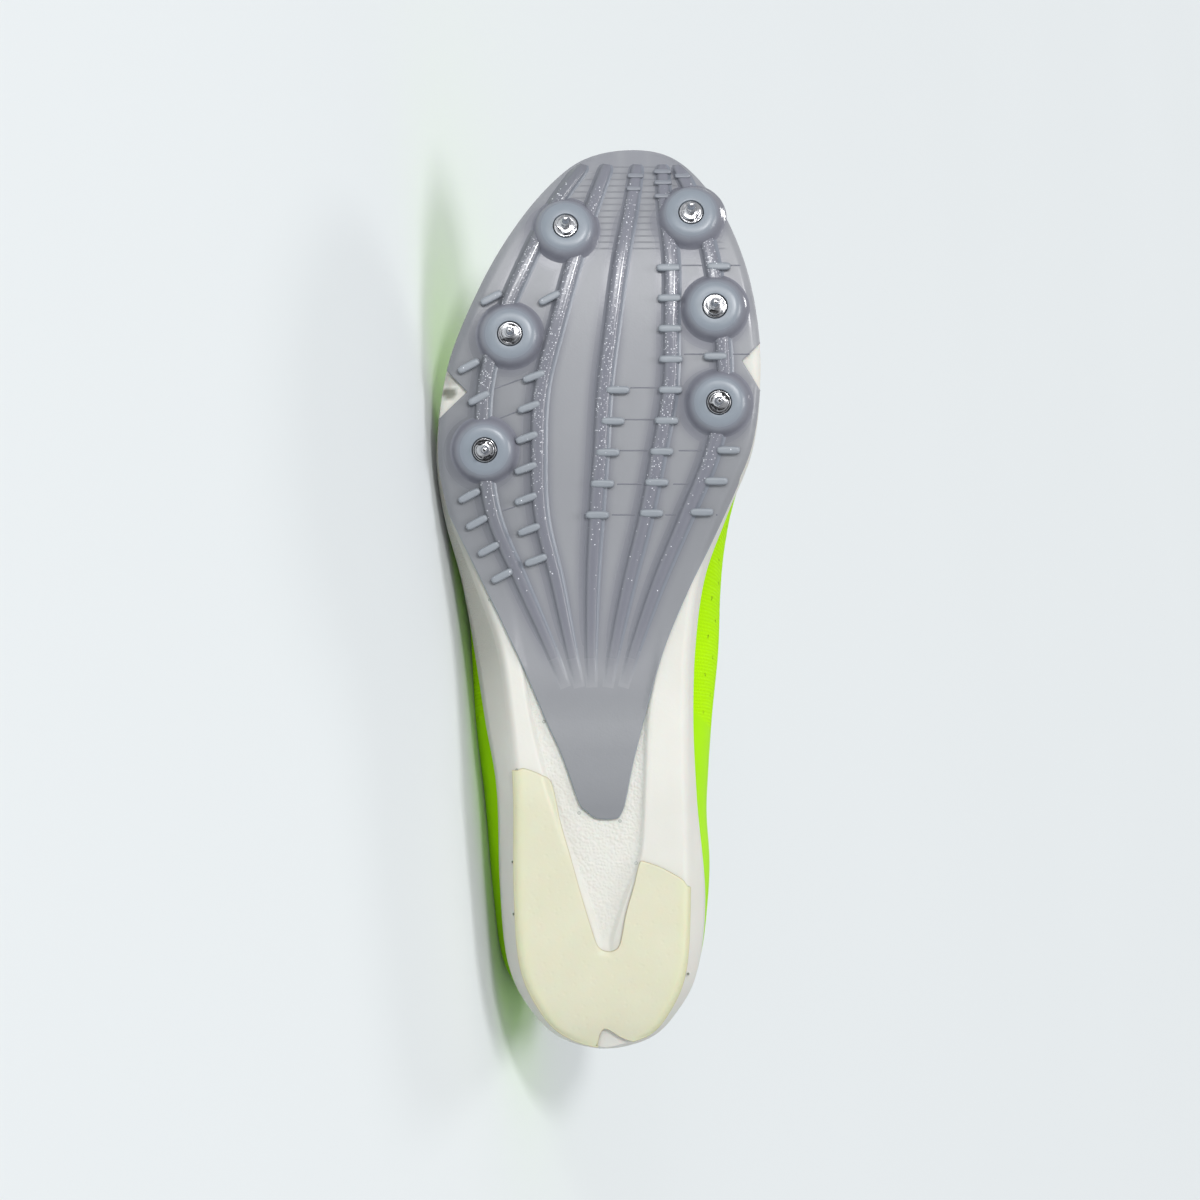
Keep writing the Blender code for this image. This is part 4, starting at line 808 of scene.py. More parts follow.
class SHOE_OT_plate(bpy.types.Operator):
    """Moulded forefoot plate with its ribs, cross lugs, bosses and fine lines"""

    bl_idname = "shoe.plate"
    bl_label = "Spike plate"

    def execute(self, context):
        shape = Shape("shade", "frost", "fleck", "groove", "thick")
        size = [LENGTH, BALL_WIDTH]
        loop = np.concatenate([
            curve_through(PLATE_TAIL, 12) * size, edge_run(0.5965, 0.6988, -1),
            LATERAL_NOTCH * size, edge_run(0.7518, 1.0, -1, 400), edge_run(1.0, 0.7828, 1, 400),
            MEDIAL_NOTCH * size, edge_run(0.7284, 0.6334, 1)])

        def paint(x, y, rim):
            part = across(x, y)
            share = x / LENGTH
            # Painted shade, strongest towards the lateral side, away from the light; a medial band
            # and the tail are darker too
            thick = 0.55 * lateral_shade(x, part) * smooth((0.93 - share) / 0.15)
            thick = thick + 0.25 * smooth((part - 0.72) / 0.2) * smooth((0.80 - share) / 0.2)
            thick = thick + 0.45 * smooth((0.44 - share) / 0.08)
            toe = smooth((x - 0.2475) / 0.001) * smooth((0.2765 - x) / 0.002)
            toe = toe * smooth((y - lateral_y(x) - 0.007) / 0.004)
            toe = toe * smooth((medial_y(x) - y - 0.004) / 0.002)
            thickness_and_shadow = self.thickness_and_shadow(x, y)
            # The rim towards the tail gets a painted highlight, a pale lit edge
            return {"shade": thickness_and_shadow, "groove": toe * (1 - thickness_and_shadow), "thick": thick,
                    "frost": 0.9 * rim * smooth((0.62 - share) / 0.06)}

        moulded_sheet(shape, loop, 0.0004, 0.0009, paint)
        self.ribs(shape)
        self.lugs(shape)
        for place in BOSSES:
            self.boss(shape, boss_frame(*place))
        for ends in np.array(HAIRLINES) / 1000.0:
            self.hairline(shape, ends[:2], ends[2:])
        plate = shape.make("spike_plate_moulding", plate_material())
        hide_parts("spike_plate")
        return {"FINISHED"}

    def thickness_and_shadow(self, x, y):
        """Soft darker band around ribs and bosses, where the plastic grows thick, shifted towards
        the lateral side and the heel as a painted shadow.
        """
        share = x / LENGTH
        thickness_and_shadow = 0.0 * x
        for number in range(1, 6):
            centre, height, half = rib_line(number, share)
            gap = np.abs(y - centre + 0.0005) - half
            near = smooth(1.0 - gap / 0.0042) * smooth(height / RIB_HEIGHT / 0.8)
            thickness_and_shadow = np.maximum(thickness_and_shadow, near * smooth((share - 0.40) / 0.03))
        for bx, by in BOSSES:
            away = np.hypot(x - bx * LENGTH + 0.0009, y - by * BALL_WIDTH + 0.0009)
            away = away - BOSS_DIAMETER / 2.0
            thickness_and_shadow = np.maximum(thickness_and_shadow, smooth(1.0 - away / 0.0045))
        return 0.75 * thickness_and_shadow * (1.0 - 0.6 * smooth((share - 0.91) / 0.04))

    def ribs(self, shape):
        """The five ribs with a round crest, soft flanks and rounded ends."""
        half = np.array([
            (0.0, 1.0), (0.32, 0.99), (0.60, 0.93), (0.78, 0.81), (0.90, 0.60), (1.00, 0.36),
            (1.12, 0.18), (1.25, 0.08), (1.40, 0.02), (1.52, -0.10)])
        profile = np.concatenate([half[:0:-1] * [-1.0, 1.0], half])
        x = np.linspace(RIB_START, RIB_END, 260)
        ease = np.sqrt(np.clip(1.0 - np.clip(1.0 - (RIB_END - x) / 0.009, 0, 1) ** 2, 0.0, 1.0))
        for number in range(1, 6):
            y, height, half = rib_line(number, x)
            slope = (rib_line(number, x + 0.004)[0] - rib_line(number, x - 0.004)[0]) / (
                0.008 * LENGTH)
            size = np.hypot(1.0, slope)
            reach = half[:, None] * profile[:, 0] * (0.55 + 0.45 * ease)[:, None]
            px = x[:, None] * LENGTH - slope[:, None] / size[:, None] * reach
            py = y[:, None] + reach / size[:, None]
            py = np.clip(py, lateral_y(px) + 0.0012, medial_y(px) - 0.0012)
            top = np.maximum(height * ease, 0.00002)[:, None] * profile[:, 1]
            pz = underside(px, py) - top
            dense = smooth((x - 0.56) / 0.16) * 0.40 + smooth((x - 0.48) / 0.08) * 0.06
            dense = dense * smooth((0.965 - x) / 0.03)
            dense = dense[:, None] * smooth((0.95 - np.abs(profile[:, 0])) / 0.1)
            fade = smooth((height / RIB_HEIGHT) / 0.7)[:, None]
            # Painted shadow on each rib's lateral flank and a painted highlight on its medial flank
            flank_shadow = smooth((-profile[:, 0] - 0.3) / 0.5) * smooth((1.55 + profile[:, 0]) / 0.4)
            right = 0.25 * smooth((profile[:, 0] - 0.75) / 0.2)
            shape.grid(stack(px, py, pz), shade=0.92 * fade, frost=right * fade, fleck=dense,
                       thick=0.4 * lateral_shade(px, across(px, py)) + 0.30 * flank_shadow * fade)
        for number, at, width in TOE_STEPS:
            y, height, _ = rib_line(number, np.array([at]))
            pill(shape, at * LENGTH, float(y[0]), 0.0, width, 0.0017, float(height[0]) + 0.0004,
                 power=4.0, shade=0.6, frost=0.15)

    def lugs(self, shape):
        """The cross lugs, frosted bars that lie over the ribs."""
        for rib, first, pitch, count, start, end, tilt in LUG_RUNS:
            for k in range(count):
                x = first - pitch * k
                offset = start + (end - start) * k / max(count - 1, 1)
                y = float(along(RIB_ROWS, rib, np.array([x]))[0]) + offset
                pill(shape, x * LENGTH, y * BALL_WIDTH, math.radians(tilt), LUG_LENGTH,
                     LUG_WIDTH * 1.1, LUG_HEIGHT, power=4.0, shade=0.1, frost=0.35, fleck=0.03)

    def boss(self, shape, matrix):
        """A low dome with a ring-shaped top around the socket's pocket."""
        bore = SOCKET_DIAMETER / 2.0 + FIT_GAP
        # Radius and height in millimetres
        profile = np.array([
            (11.2, -0.3), (10.8, 0.02), (10.35, 0.25), (10.0, 0.75), (9.7, 1.5), (9.25, 2.4),
            (8.7, 3.2), (8.0, 3.85), (7.2, 4.28), (6.3, 4.52), (5.2, 4.6), (4.3, 4.6),
            (4.05, 4.57)]) / 1000.0
        profile = np.concatenate([profile, [(bore, BOSS_HEIGHT - 0.0002), (bore, POCKET_FLOOR)]])
        points = placed(turned(profile, 72), matrix)
        foot = points[:2]
        foot[..., 2] = underside(foot[..., 0], foot[..., 1]) + np.array([[0.0004], [-0.00001]])
        radius = profile[:, 0]
        shade = np.interp(radius, [0.0065, 0.0085, 0.0100, 0.0112], [0.80, 0.9, 1.0, 0.75])
        frost = np.interp(radius, [0.0045, 0.0070, 0.0090], [0.55, 0.50, 0.0])
        shape.grid(points, wrap_columns=True, shade=shade[:, None], frost=frost[:, None])

    def hairline(self, shape, start, end):
        """A fine raised line between two points."""
        count = 24
        end = np.minimum(end, [1.0, float(medial_y(end[0])) - 0.0016])
        line = start + (end - start) * np.linspace(0, 1, count)[:, None]
        side = unit((end - start)[::-1] * [1.0, -1.0])
        breadth = np.linspace(-1, 1, 7)
        fade = np.sqrt(np.clip(1 - np.abs(np.linspace(-1, 1, count)) ** 8, 0, 1))
        x = line[:, :1] + side[0] * breadth * HAIRLINE_HALF
        y = line[:, 1:] + side[1] * breadth * HAIRLINE_HALF
        rise = (1.0 - breadth ** 2) * settings().hairline_height - 0.00003
        z = underside(x, y) - rise * fade[:, None]
        shape.grid(stack(x, y, z), shade=1.0, thick=0.35)


def rubber_material():
    """Pressed heel rubber: cream, a little see-through, with a satin skin and faint grain."""
    made, tree, shader = surface("cream_pressed_rubber", Roughness=0.42, IOR=1.52,
                                 Subsurface_Weight=0.25, Subsurface_Scale=0.002)
    place = shoe_place(tree)
    edge = node(tree, "ShaderNodeAttribute", attribute_name="edge").outputs["Fac"]
    tint = node(tree, "ShaderNodeAttribute", attribute_name="tint").outputs["Fac"]
    cloud = node(tree, "ShaderNodeTexNoise", {"Vector": place, "Scale": 70.0, "Detail": 4.0})
    drift = node(tree, "ShaderNodeMix", {0: cloud.outputs["Fac"], 6: linear("d2cfb5"),
                                         7: settings().rubber_colour}, data_type="RGBA")
    rim = node(tree, "ShaderNodeMix", {0: edge, 6: drift.outputs[2], 7: linear("b3aa8c")},
               data_type="RGBA")
    # Painted reflection of the lime upper, strongest near the rubber's edges
    lime = node(tree, "ShaderNodeMix", {0: tint, 6: rim.outputs[2], 7: linear("d9e39a")},
                data_type="RGBA")
    tree.links.new(lime.outputs[2], shader.inputs["Base Color"])
    grain = node(tree, "ShaderNodeTexNoise", {"Vector": place, "Scale": 900.0, "Detail": 3.0})
    dots = node(tree, "ShaderNodeTexVoronoi", {"Vector": place, "Scale": 420.0})
    dot = node(tree, "ShaderNodeMapRange", {0: dots.outputs["Distance"], 1: 0.10, 2: 0.30})
    fine = node(tree, "ShaderNodeBump", {"Height": grain.outputs["Fac"], "Strength": 0.3,
                                         "Distance": 0.0001})
    pits = node(tree, "ShaderNodeBump", {"Height": dot.outputs[0], "Strength": 0.25,
                                         "Distance": 0.00012, "Normal": fine.outputs[0]})
    tree.links.new(pits.outputs[0], shader.inputs["Normal"])
    return made


class SHOE_OT_rubber(bpy.types.Operator):
    """Heel rubber with its fish-mouth front and the notch at the back"""

    bl_idname = "shoe.rubber"
    bl_label = "Heel rubber"

    def execute(self, context):
        shape = Shape("edge", "tint")
        mouth = curve_through(MOUTH, 10) * [LENGTH, BALL_WIDTH]
        notch = curve_through(NOTCH, 8) * [LENGTH, BALL_WIDTH]
        loop = np.concatenate([
            mouth, edge_run(0.180, 0.0125, 1, 200), notch, edge_run(0.0005, 0.3085, -1, 260)])

        def paint(x, y, rim):
            near = np.minimum(from_edge(x, y), x + 0.001)
            edge = 0.45 * smooth((0.0013 - near) / 0.0010)
            return {"edge": np.maximum(edge, rim), "tint": 0.16 * smooth((0.006 - near) / 0.005)}

        moulded_sheet(shape, loop, 0.00045, 0.0009, paint)
        rubber = shape.make("heel_rubber_pad", rubber_material())
        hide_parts("heel_rubber")
        return {"FINISHED"}


def foam_material():
    """Moulded foam: off-white, fine skin, with a pebbled field and a creased side."""
    made, tree, shader = surface("white_moulded_foam", Roughness=0.52, IOR=1.45,
                                 Subsurface_Weight=0.12, Subsurface_Scale=0.002)
    place = shoe_place(tree)
    pebble, shade, leather = (
        node(tree, "ShaderNodeAttribute", attribute_name=name).outputs["Fac"]
        for name in ("pebble", "shade", "leather"))
    cloud = node(tree, "ShaderNodeTexNoise", {"Vector": place, "Scale": 60.0, "Detail": 3.0})
    drift = node(tree, "ShaderNodeMix", {0: cloud.outputs["Fac"], 6: linear("d5d3ca"),
                                         7: settings().foam_colour}, data_type="RGBA")
    # Painted shade from the shade mask: lateral flare, notch hollow and pits
    painted_shade = node(tree, "ShaderNodeMix", {0: shade, 6: drift.outputs[2], 7: linear("77786c")},
                data_type="RGBA")
    tree.links.new(painted_shade.outputs[2], shader.inputs["Base Color"])
    grain = node(tree, "ShaderNodeTexNoise", {"Vector": place, "Scale": 1100.0, "Detail": 2.0})
    fine = node(tree, "ShaderNodeBump", {"Height": grain.outputs["Fac"], "Strength": 0.35,
                                         "Distance": 0.0001})
    # Pebbles of about 0.8 mm
    cells = node(tree, "ShaderNodeTexVoronoi", {"Vector": place, "Scale": 1250.0},
                 feature="SMOOTH_F1")
    height = node(tree, "ShaderNodeMath", {0: cells.outputs["Distance"], 1: pebble},
                  operation="MULTIPLY")
    bumps = node(tree, "ShaderNodeBump", {"Height": height.outputs[0], "Strength": 0.7,
                                          "Distance": 0.0004, "Normal": fine.outputs[0]},
                 invert=True)
    # Leather-like cells of about 0.9 mm on the lateral flare
    hide = node(tree, "ShaderNodeTexVoronoi", {"Vector": place, "Scale": 1100.0},
                feature="DISTANCE_TO_EDGE")
    line = node(tree, "ShaderNodeMapRange", {0: hide.outputs["Distance"], 1: 0.0, 2: 0.2})
    folds = node(tree, "ShaderNodeMath", {0: line.outputs[0], 1: leather}, operation="MULTIPLY")
    skin_bump = node(tree, "ShaderNodeBump", {"Height": folds.outputs[0], "Strength": 0.6,
                                              "Distance": 0.0002, "Normal": bumps.outputs[0]})
    tree.links.new(skin_bump.outputs[0], shader.inputs["Normal"])
    return made


# Moulding pits in the foam's underside, x and y in millimetres
PITS = [
    (139.2, -34.4), (101.4, -17.4), (73.2, -6.5), (70.7, 6.2), (86.5, -25.8), (57.7, 11.2),
    (50.2, 27.3), (23.3, 27.3), (58.0, -27.0), (41.9, -26.7), (18.0, -22.0),
]


class SHOE_OT_midsole(bpy.types.Operator):
    """Foam body with its channel, pebbled field, ledge, rim and bed"""

    bl_idname = "shoe.midsole"
    bl_label = "Midsole"

    def execute(self, context):
        rows = np.linspace(0.0, LAST_ROW, 24 * LAST_ROW + 1)[:, None]
        lateral = outline(rows)
        medial = outline(RING - rows)
        middle = (lateral[..., 0] + medial[..., 0]) / 2.0
        low, high, _ = channel(middle)
        low = np.maximum(low, 0.075)
        high = np.minimum(high, 0.90)
        stops = [0.0 * low, 0.05 + 0 * low, low, low + CHANNEL_SOFT, high - CHANNEL_SOFT, high,
                 0.95 + 0 * low, 1.0 + 0 * low]
        part = np.concatenate([
            a + (b - a) * np.linspace(0, 1, n + 1)[:-1] for a, b, n in
            zip(stops, stops[1:], [8, 8, 6, 18, 6, 8, 8])] + [stops[-1]], 1)
        under = lateral + (medial - lateral) * part[..., None]
        x, y = under[..., 0], under[..., 1]
        under[..., 2] = underside(x, y) + FOAM_LIFT
        share = x / LENGTH
        pebble = in_channel(part, low, high)
        pebble = pebble * smooth((share - 0.115) / 0.02) * smooth((0.47 - share) / 0.05)
        sides = [self.side(rows), self.side(RING - rows)]
        top = np.linspace(0, 1, 9)[None, :, None]
        bed_line = sides[0][:, -1:] * (1 - top) + sides[1][:, -1:] * top
        bed_line[..., 2] = bed(bed_line[..., 0])
        loop = np.concatenate([under, sides[1][:, 1:-1], bed_line[:, ::-1],
                               sides[0][:, -2:0:-1]], 1)
        count = under.shape[1]
        pebble = np.pad(pebble, ((0, 0), (0, loop.shape[1] - count)))
        # Painted shade: the lateral side looks away from the light and is darkest at the waist
        flank = slice(2 - sides[0].shape[1], None)
        place = middle / LENGTH
        painted_shade = 0.16 + 0.42 * smooth((place - 0.28) / 0.2) * smooth((0.78 - place) / 0.1)
        reach = 2.2 - 2.0 * smooth((place - 0.42) / 0.2)
        outer = smooth(1.0 - part / low * reach) * smooth((0.66 - place) / 0.08)
        shade = np.zeros(loop.shape[:2])
        shade[:, :count] = 0.8 * painted_shade * outer
        shade[:, flank] = painted_shade
        # Painted shade for the hollow seen in the lateral notch; the foam has no dent there
        for cx, cy, rx, ry, recess_shade in ((203.4, -46.8, 2.4, 3.2, 1.0), (207.8, -46.2, 3.0, 3.6, 0.5)):
            hollow = np.hypot((x * 1000.0 - cx) / rx, (y * 1000.0 - cy) / ry)
            shade[:, :count] = np.maximum(shade[:, :count], recess_shade * smooth((1.0 - hollow) * 2.0))
        leather = np.zeros(loop.shape[:2])
        leather[:, flank] = 1.0
        leather *= smooth((place - 0.40) / 0.06) * smooth((0.66 - place) / 0.04)
        shape = Shape("pebble", "shade", "leather")
        shape.grid(loop, wrap_columns=True, pebble=pebble, shade=shade, leather=leather)
        radius = np.array([0.0007, 0.0005, 0.0003, 0.00001])[:, None]
        depth = np.array([0.00004, -0.00006, 0.0, 0.00002])[:, None]
        for px, py in PITS:
            ring_x = px / 1000.0 + radius * np.cos(circle(16))
            ring_y = py / 1000.0 + radius * np.sin(circle(16))
            pit = stack(ring_x, ring_y, underside(ring_x, ring_y) + FOAM_LIFT + depth)
            # Painted shade darkens the middle of each pit
            shape.grid(pit, wrap_columns=True, shade=np.array([[0.0], [0.2], [1.0], [1.0]]))
        foam = shape.make("midsole_foam", foam_material())
        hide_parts("midsole")
        return {"FINISHED"}

    def side(self, station):
        """The side from the tread edge over the ledge and the rounded rim down to the bed."""
        edge = outline(station)
        flare = around(FLARE, station)
        low = underside(edge[..., 0], edge[..., 1]) + FOAM_LIFT
        high = rim_top(outline(station, flare)[..., 0])
        # Height share, share of the flare and share of the ledge
        profile = [
            (0.0, 0.0, 0.0), (0.02, 0.05, 0.0), (0.07, 0.17, 0.0), (0.14, 0.31, 0.0),
            (0.22, 0.46, 0.0), (0.30, 0.61, 0.0), (0.37, 0.73, 0.0), (0.405, 0.785, 0.05),
            (0.42, 0.81, 0.35), (0.435, 0.83, 0.8), (0.46, 0.86, 1.0), (0.55, 0.91, 1.0),
            (0.66, 0.95, 1.0), (0.78, 0.98, 1.0), (0.88, 1.0, 1.0), (0.93, 1.0, 1.0)]
        runs = [(up, flare * out - step * SIDE_LEDGE) for up, out, step in profile]
        # Height share and share of the rim's width
        runs += [(up, flare - SIDE_LEDGE - inward * (RIM_WIDTH - SIDE_LEDGE)) for up, inward in (
            (0.965, 0.06), (0.99, 0.16), (1.0, 0.32), (1.0, 0.55), (1.0, 0.8), (0.99, 0.93),
            (0.96, 1.0))]
        points = []
        for up, out in runs:
            p = outline(station, out)
            p[..., 2] = low + (high - low) * up
            points.append(p)
        p = outline(station, flare - RIM_WIDTH)
        p[..., 2] = bed(p[..., 0])
        return np.concatenate(points + [p], 1)


def steel_material():
    """Turned steel: bright, with a fine unevenness left by the tool."""
    made, tree, shader = surface("bright_turned_steel", Metallic=1.0, Roughness=0.24)
    shader.inputs["Base Color"].default_value = settings().steel_colour
    place = shoe_place(tree)
    grain = node(tree, "ShaderNodeTexNoise", {"Vector": place, "Scale": 1300.0, "Detail": 3.0})
    wear = node(tree, "ShaderNodeMapRange", {0: grain.outputs["Fac"], 1: 0.3, 2: 0.7, 3: 0.10,
                                             4: 0.22})
    tree.links.new(wear.outputs[0], shader.inputs["Roughness"])
    fine = node(tree, "ShaderNodeBump", {"Height": grain.outputs["Fac"], "Strength": 0.08,
                                         "Distance": 0.00004})
    tree.links.new(fine.outputs[0], shader.inputs["Normal"])
    return made


class SHOE_OT_steel(bpy.types.Operator):
    """The six sockets and their screw-in pins"""

    bl_idname = "shoe.steel"
    bl_label = "Sockets and pins"

    def execute(self, context):
        steel = steel_material()
        for number, place in enumerate(BOSSES, 1):
            top = boss_frame(*place) @ Matrix.Translation((0.0, 0.0, BOSS_HEIGHT))
            self.socket(number, top, steel)
            self.pin(number, top @ Matrix.Rotation(number * PIN_TURN, 4, "Z"), steel)
        return {"FINISHED"}

    def socket(self, number, matrix, steel):
        """A ring with chamfered edges and a blind bore; radius and height in millimetres."""
        profile = np.array([
            (0.0, -4.2), (3.55, -4.2), (3.65, -4.1), (3.65, -0.22), (3.60, -0.08), (3.50, -0.01),
            (3.40, 0.0), (2.55, 0.0), (2.42, -0.03), (2.32, -0.12), (2.30, -0.3), (2.30, -2.9),
            (0.0, -2.9)]) / 1000.0
        shape = Shape()
        shape.grid(placed(turned(profile, STEEL_SIDES), matrix), wrap_columns=True)
        ring = shape.make(f"socket_{number}_ring", steel)
        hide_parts(f"receptacle_{number}")

    def pin(self, number, matrix, steel):
        """Stud, flange with two wrench flats, and a stepped pin with a blunt tip."""
        # Radius and height in millimetres
        profile = np.array([
            (0.0, -2.6), (1.9, -2.6), (2.0, -2.5), (2.0, 0.3), (2.88, 0.3), (2.97, 0.34),
            (3.0, 0.42), (3.0, 1.48), (2.96, 1.60), (2.84, 1.68), (2.70, 1.7), (1.66, 1.7),
            (1.53, 1.76), (1.5, 1.9), (1.5, 3.9), (1.46, 4.05), (1.36, 4.2), (1.18, 4.38),
            (1.11, 4.52), (1.08, 4.7), (0.74, 7.45), (0.69, 7.58), (0.58, 7.66), (0.42, 7.7),
            (0.0, 7.7)]) / 1000.0
        points = turned(profile, STEEL_SIDES)
        # Only the flange is wide enough for the clip to reach it
        points[..., 1] = np.clip(points[..., 1], -WRENCH_HALF, WRENCH_HALF)
        shape = Shape()
        shape.grid(placed(points, matrix), wrap_columns=True)
        pin = shape.make(f"pin_{number}_steel", steel)
        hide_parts(f"spike_{number}")


def knit_material():
    """Fine warp knit: lime yarn loops over a ground darkened by painted shade, smooth film on the
    panels.
    """
    made, tree, shader = surface("lime_warp_knit", Roughness=0.80, IOR=1.45,
                                 Specular_IOR_Level=0.15)
    place = shoe_place(tree)
    girth, rise, panel, holes, inside, seam = (
        node(tree, "ShaderNodeAttribute", attribute_name=name).outputs["Fac"]
        for name in ("girth", "rise", "panel", "perf", "lining", "seam"))
    pitch = settings().knit_pitch
    # Loops stand in columns; each is a small V, one stitch wide and three quarters as tall
    column = node(tree, "ShaderNodeMath", {0: girth, 1: 1.0 / pitch}, operation="MULTIPLY")
    part = node(tree, "ShaderNodeMath", {0: column.outputs[0], 1: 1.0}, operation="PINGPONG")
    course = node(tree, "ShaderNodeMath", {0: rise, 1: 1.0 / (0.75 * pitch)}, operation="MULTIPLY")
    lean = node(tree, "ShaderNodeMath", {0: part.outputs[0], 1: 0.7, 2: course.outputs[0]},
                operation="MULTIPLY_ADD")
    wave = node(tree, "ShaderNodeMath", {0: lean.outputs[0], 1: 0.5}, operation="PINGPONG")
    ridge = node(tree, "ShaderNodeMath", {0: part.outputs[0], 1: 0.5}, operation="PINGPONG")
    loop = node(tree, "ShaderNodeMath", {0: wave.outputs[0], 1: ridge.outputs[0]},
                operation="MULTIPLY")
    yarn = node(tree, "ShaderNodeMapRange", {0: loop.outputs[0], 1: 0.0, 2: 0.16})
    soft = node(tree, "ShaderNodeMath", {0: 1.0, 1: panel}, operation="SUBTRACT")
    height = node(tree, "ShaderNodeMath", {0: yarn.outputs[0], 1: soft.outputs[0]},
                  operation="MULTIPLY")
    base = settings().knit_colour
    cloud = node(tree, "ShaderNodeTexNoise", {"Vector": place, "Scale": 55.0, "Detail": 3.0})
    drift = node(tree, "ShaderNodeMix", {0: cloud.outputs["Fac"], 6: linear("b2f000"), 7: base},
                 data_type="RGBA")
    # Painted shade in the ground between the loops
    ground = node(tree, "ShaderNodeMapRange", {0: yarn.outputs[0], 3: 0.22, 4: 0.0})
    recess_shade = node(tree, "ShaderNodeMath", {0: ground.outputs[0], 1: soft.outputs[0]},
                operation="MULTIPLY")
    dark = node(tree, "ShaderNodeMix", {0: recess_shade.outputs[0], 6: drift.outputs[2],
                                        7: linear("6f9a10")}, data_type="RGBA")
    film = node(tree, "ShaderNodeMath", {0: panel, 1: 0.5}, operation="MULTIPLY")
    filmed = node(tree, "ShaderNodeMix", {0: film.outputs[0], 6: dark.outputs[2],
                                          7: linear("94d404")}, data_type="RGBA")
    # Small woven-in marks in a staggered grid, eleven by eight millimetres
    round_girth = node(tree, "ShaderNodeMath", {0: girth, 1: math.pi / 0.0055},
                       operation="MULTIPLY")
    along_rise = node(tree, "ShaderNodeMath", {0: rise, 1: math.pi / 0.0040},
                      operation="MULTIPLY")
    first = node(tree, "ShaderNodeMath", {0: round_girth.outputs[0]}, operation="SINE")
    second = node(tree, "ShaderNodeMath", {0: along_rise.outputs[0]}, operation="SINE")
    product = node(tree, "ShaderNodeMath", {0: first.outputs[0], 1: second.outputs[0]},
                   operation="MULTIPLY")
    spot = node(tree, "ShaderNodeMapRange", {0: product.outputs[0], 1: 0.90, 2: 0.96})
    weave = node(tree, "ShaderNodeTexVoronoi", {"Vector": place, "Scale": 1500.0})
    broken = node(tree, "ShaderNodeMapRange", {0: weave.outputs["Distance"], 1: 0.25, 2: 0.5,
                                               3: 1.0, 4: 0.15})
    dots = node(tree, "ShaderNodeMath", {0: broken.outputs[0], 1: holes}, operation="MULTIPLY")
    mark = node(tree, "ShaderNodeMath", {0: spot.outputs[0], 1: dots.outputs[0]},
                operation="MULTIPLY")
    marked = node(tree, "ShaderNodeMix", {0: mark.outputs[0], 6: filmed.outputs[2],
                                          7: linear("7da408")}, data_type="RGBA")
    # Stitches 2 mm long and 0.6 mm wide, 3 mm from one to the next along the seam
    away = node(tree, "ShaderNodeMath", {0: seam}, operation="ABSOLUTE")
    thread = node(tree, "ShaderNodeMapRange", {0: away.outputs[0], 1: 0.0004, 2: 0.0002})
    beat = node(tree, "ShaderNodeMath", {0: girth, 1: 2.0 * math.pi / 0.003},
                operation="MULTIPLY")
    swing = node(tree, "ShaderNodeMath", {0: beat.outputs[0]}, operation="SINE")
    dash = node(tree, "ShaderNodeMapRange", {0: swing.outputs[0], 1: -0.6, 2: -0.3})
    stitch = node(tree, "ShaderNodeMath", {0: thread.outputs[0], 1: dash.outputs[0]},
                  operation="MULTIPLY")
    sewn = node(tree, "ShaderNodeMix", {0: stitch.outputs[0], 6: marked.outputs[2],
                                        7: linear("dcff5e")}, data_type="RGBA")
    lined = node(tree, "ShaderNodeMix", {0: inside, 6: sewn.outputs[2], 7: linear("a6cf3c")},
                 data_type="RGBA")
    tree.links.new(lined.outputs[2], shader.inputs["Base Color"])
    gloss = node(tree, "ShaderNodeMapRange", {0: panel, 3: 0.80, 4: 0.50})
    tree.links.new(gloss.outputs[0], shader.inputs["Roughness"])
    loops = node(tree, "ShaderNodeBump", {"Height": height.outputs[0], "Strength": 0.6,
                                          "Distance": 0.0002})
    sink = node(tree, "ShaderNodeBump", {"Height": mark.outputs[0], "Strength": 0.8,
                                         "Distance": 0.0003, "Normal": loops.outputs[0]},
                invert=True)
    fuzz = node(tree, "ShaderNodeTexNoise", {"Vector": place, "Scale": 1800.0, "Detail": 2.0})
    nap = node(tree, "ShaderNodeBump", {"Height": fuzz.outputs["Fac"], "Strength": 0.25,
                                        "Distance": 0.0001, "Normal": sink.outputs[0]})
    raised = node(tree, "ShaderNodeBump", {"Height": stitch.outputs[0], "Strength": 0.9,
                                           "Distance": 0.0003, "Normal": nap.outputs[0]})
    tree.links.new(raised.outputs[0], shader.inputs["Normal"])
    return made


# Creases of the soft wall: two ends in stations and shares of the wall's height,
# then width and depth in millimetres; a negative depth is a ridge
CREASES = [
    (9.9, 0.26, 10.9, 0.62, 3.2, 0.85), (10.5, 0.22, 11.4, 0.66, 2.6, -0.37),
    (11.2, 0.26, 12.2, 0.64, 3.0, 0.71), (7.4, 0.40, 8.9, 0.55, 4.0, 0.59),
    (4.4, 0.74, 6.6, 0.60, 4.0, 0.77), (3.2, 0.62, 5.4, 0.46, 5.0, 0.51),
    (1.0, 0.80, 3.0, 0.72, 4.0, 0.59), (22.1, 0.26, 21.1, 0.62, 3.2, 0.85),
    (21.5, 0.22, 20.6, 0.66, 2.6, -0.37), (20.8, 0.26, 19.8, 0.64, 3.0, 0.71),
    (24.6, 0.42, 23.0, 0.56, 4.5, 0.59), (27.6, 0.74, 25.4, 0.60, 4.0, 0.77),
    (28.8, 0.62, 26.6, 0.44, 5.0, 0.51), (31.0, 0.80, 29.0, 0.70, 4.0, 0.59),
]


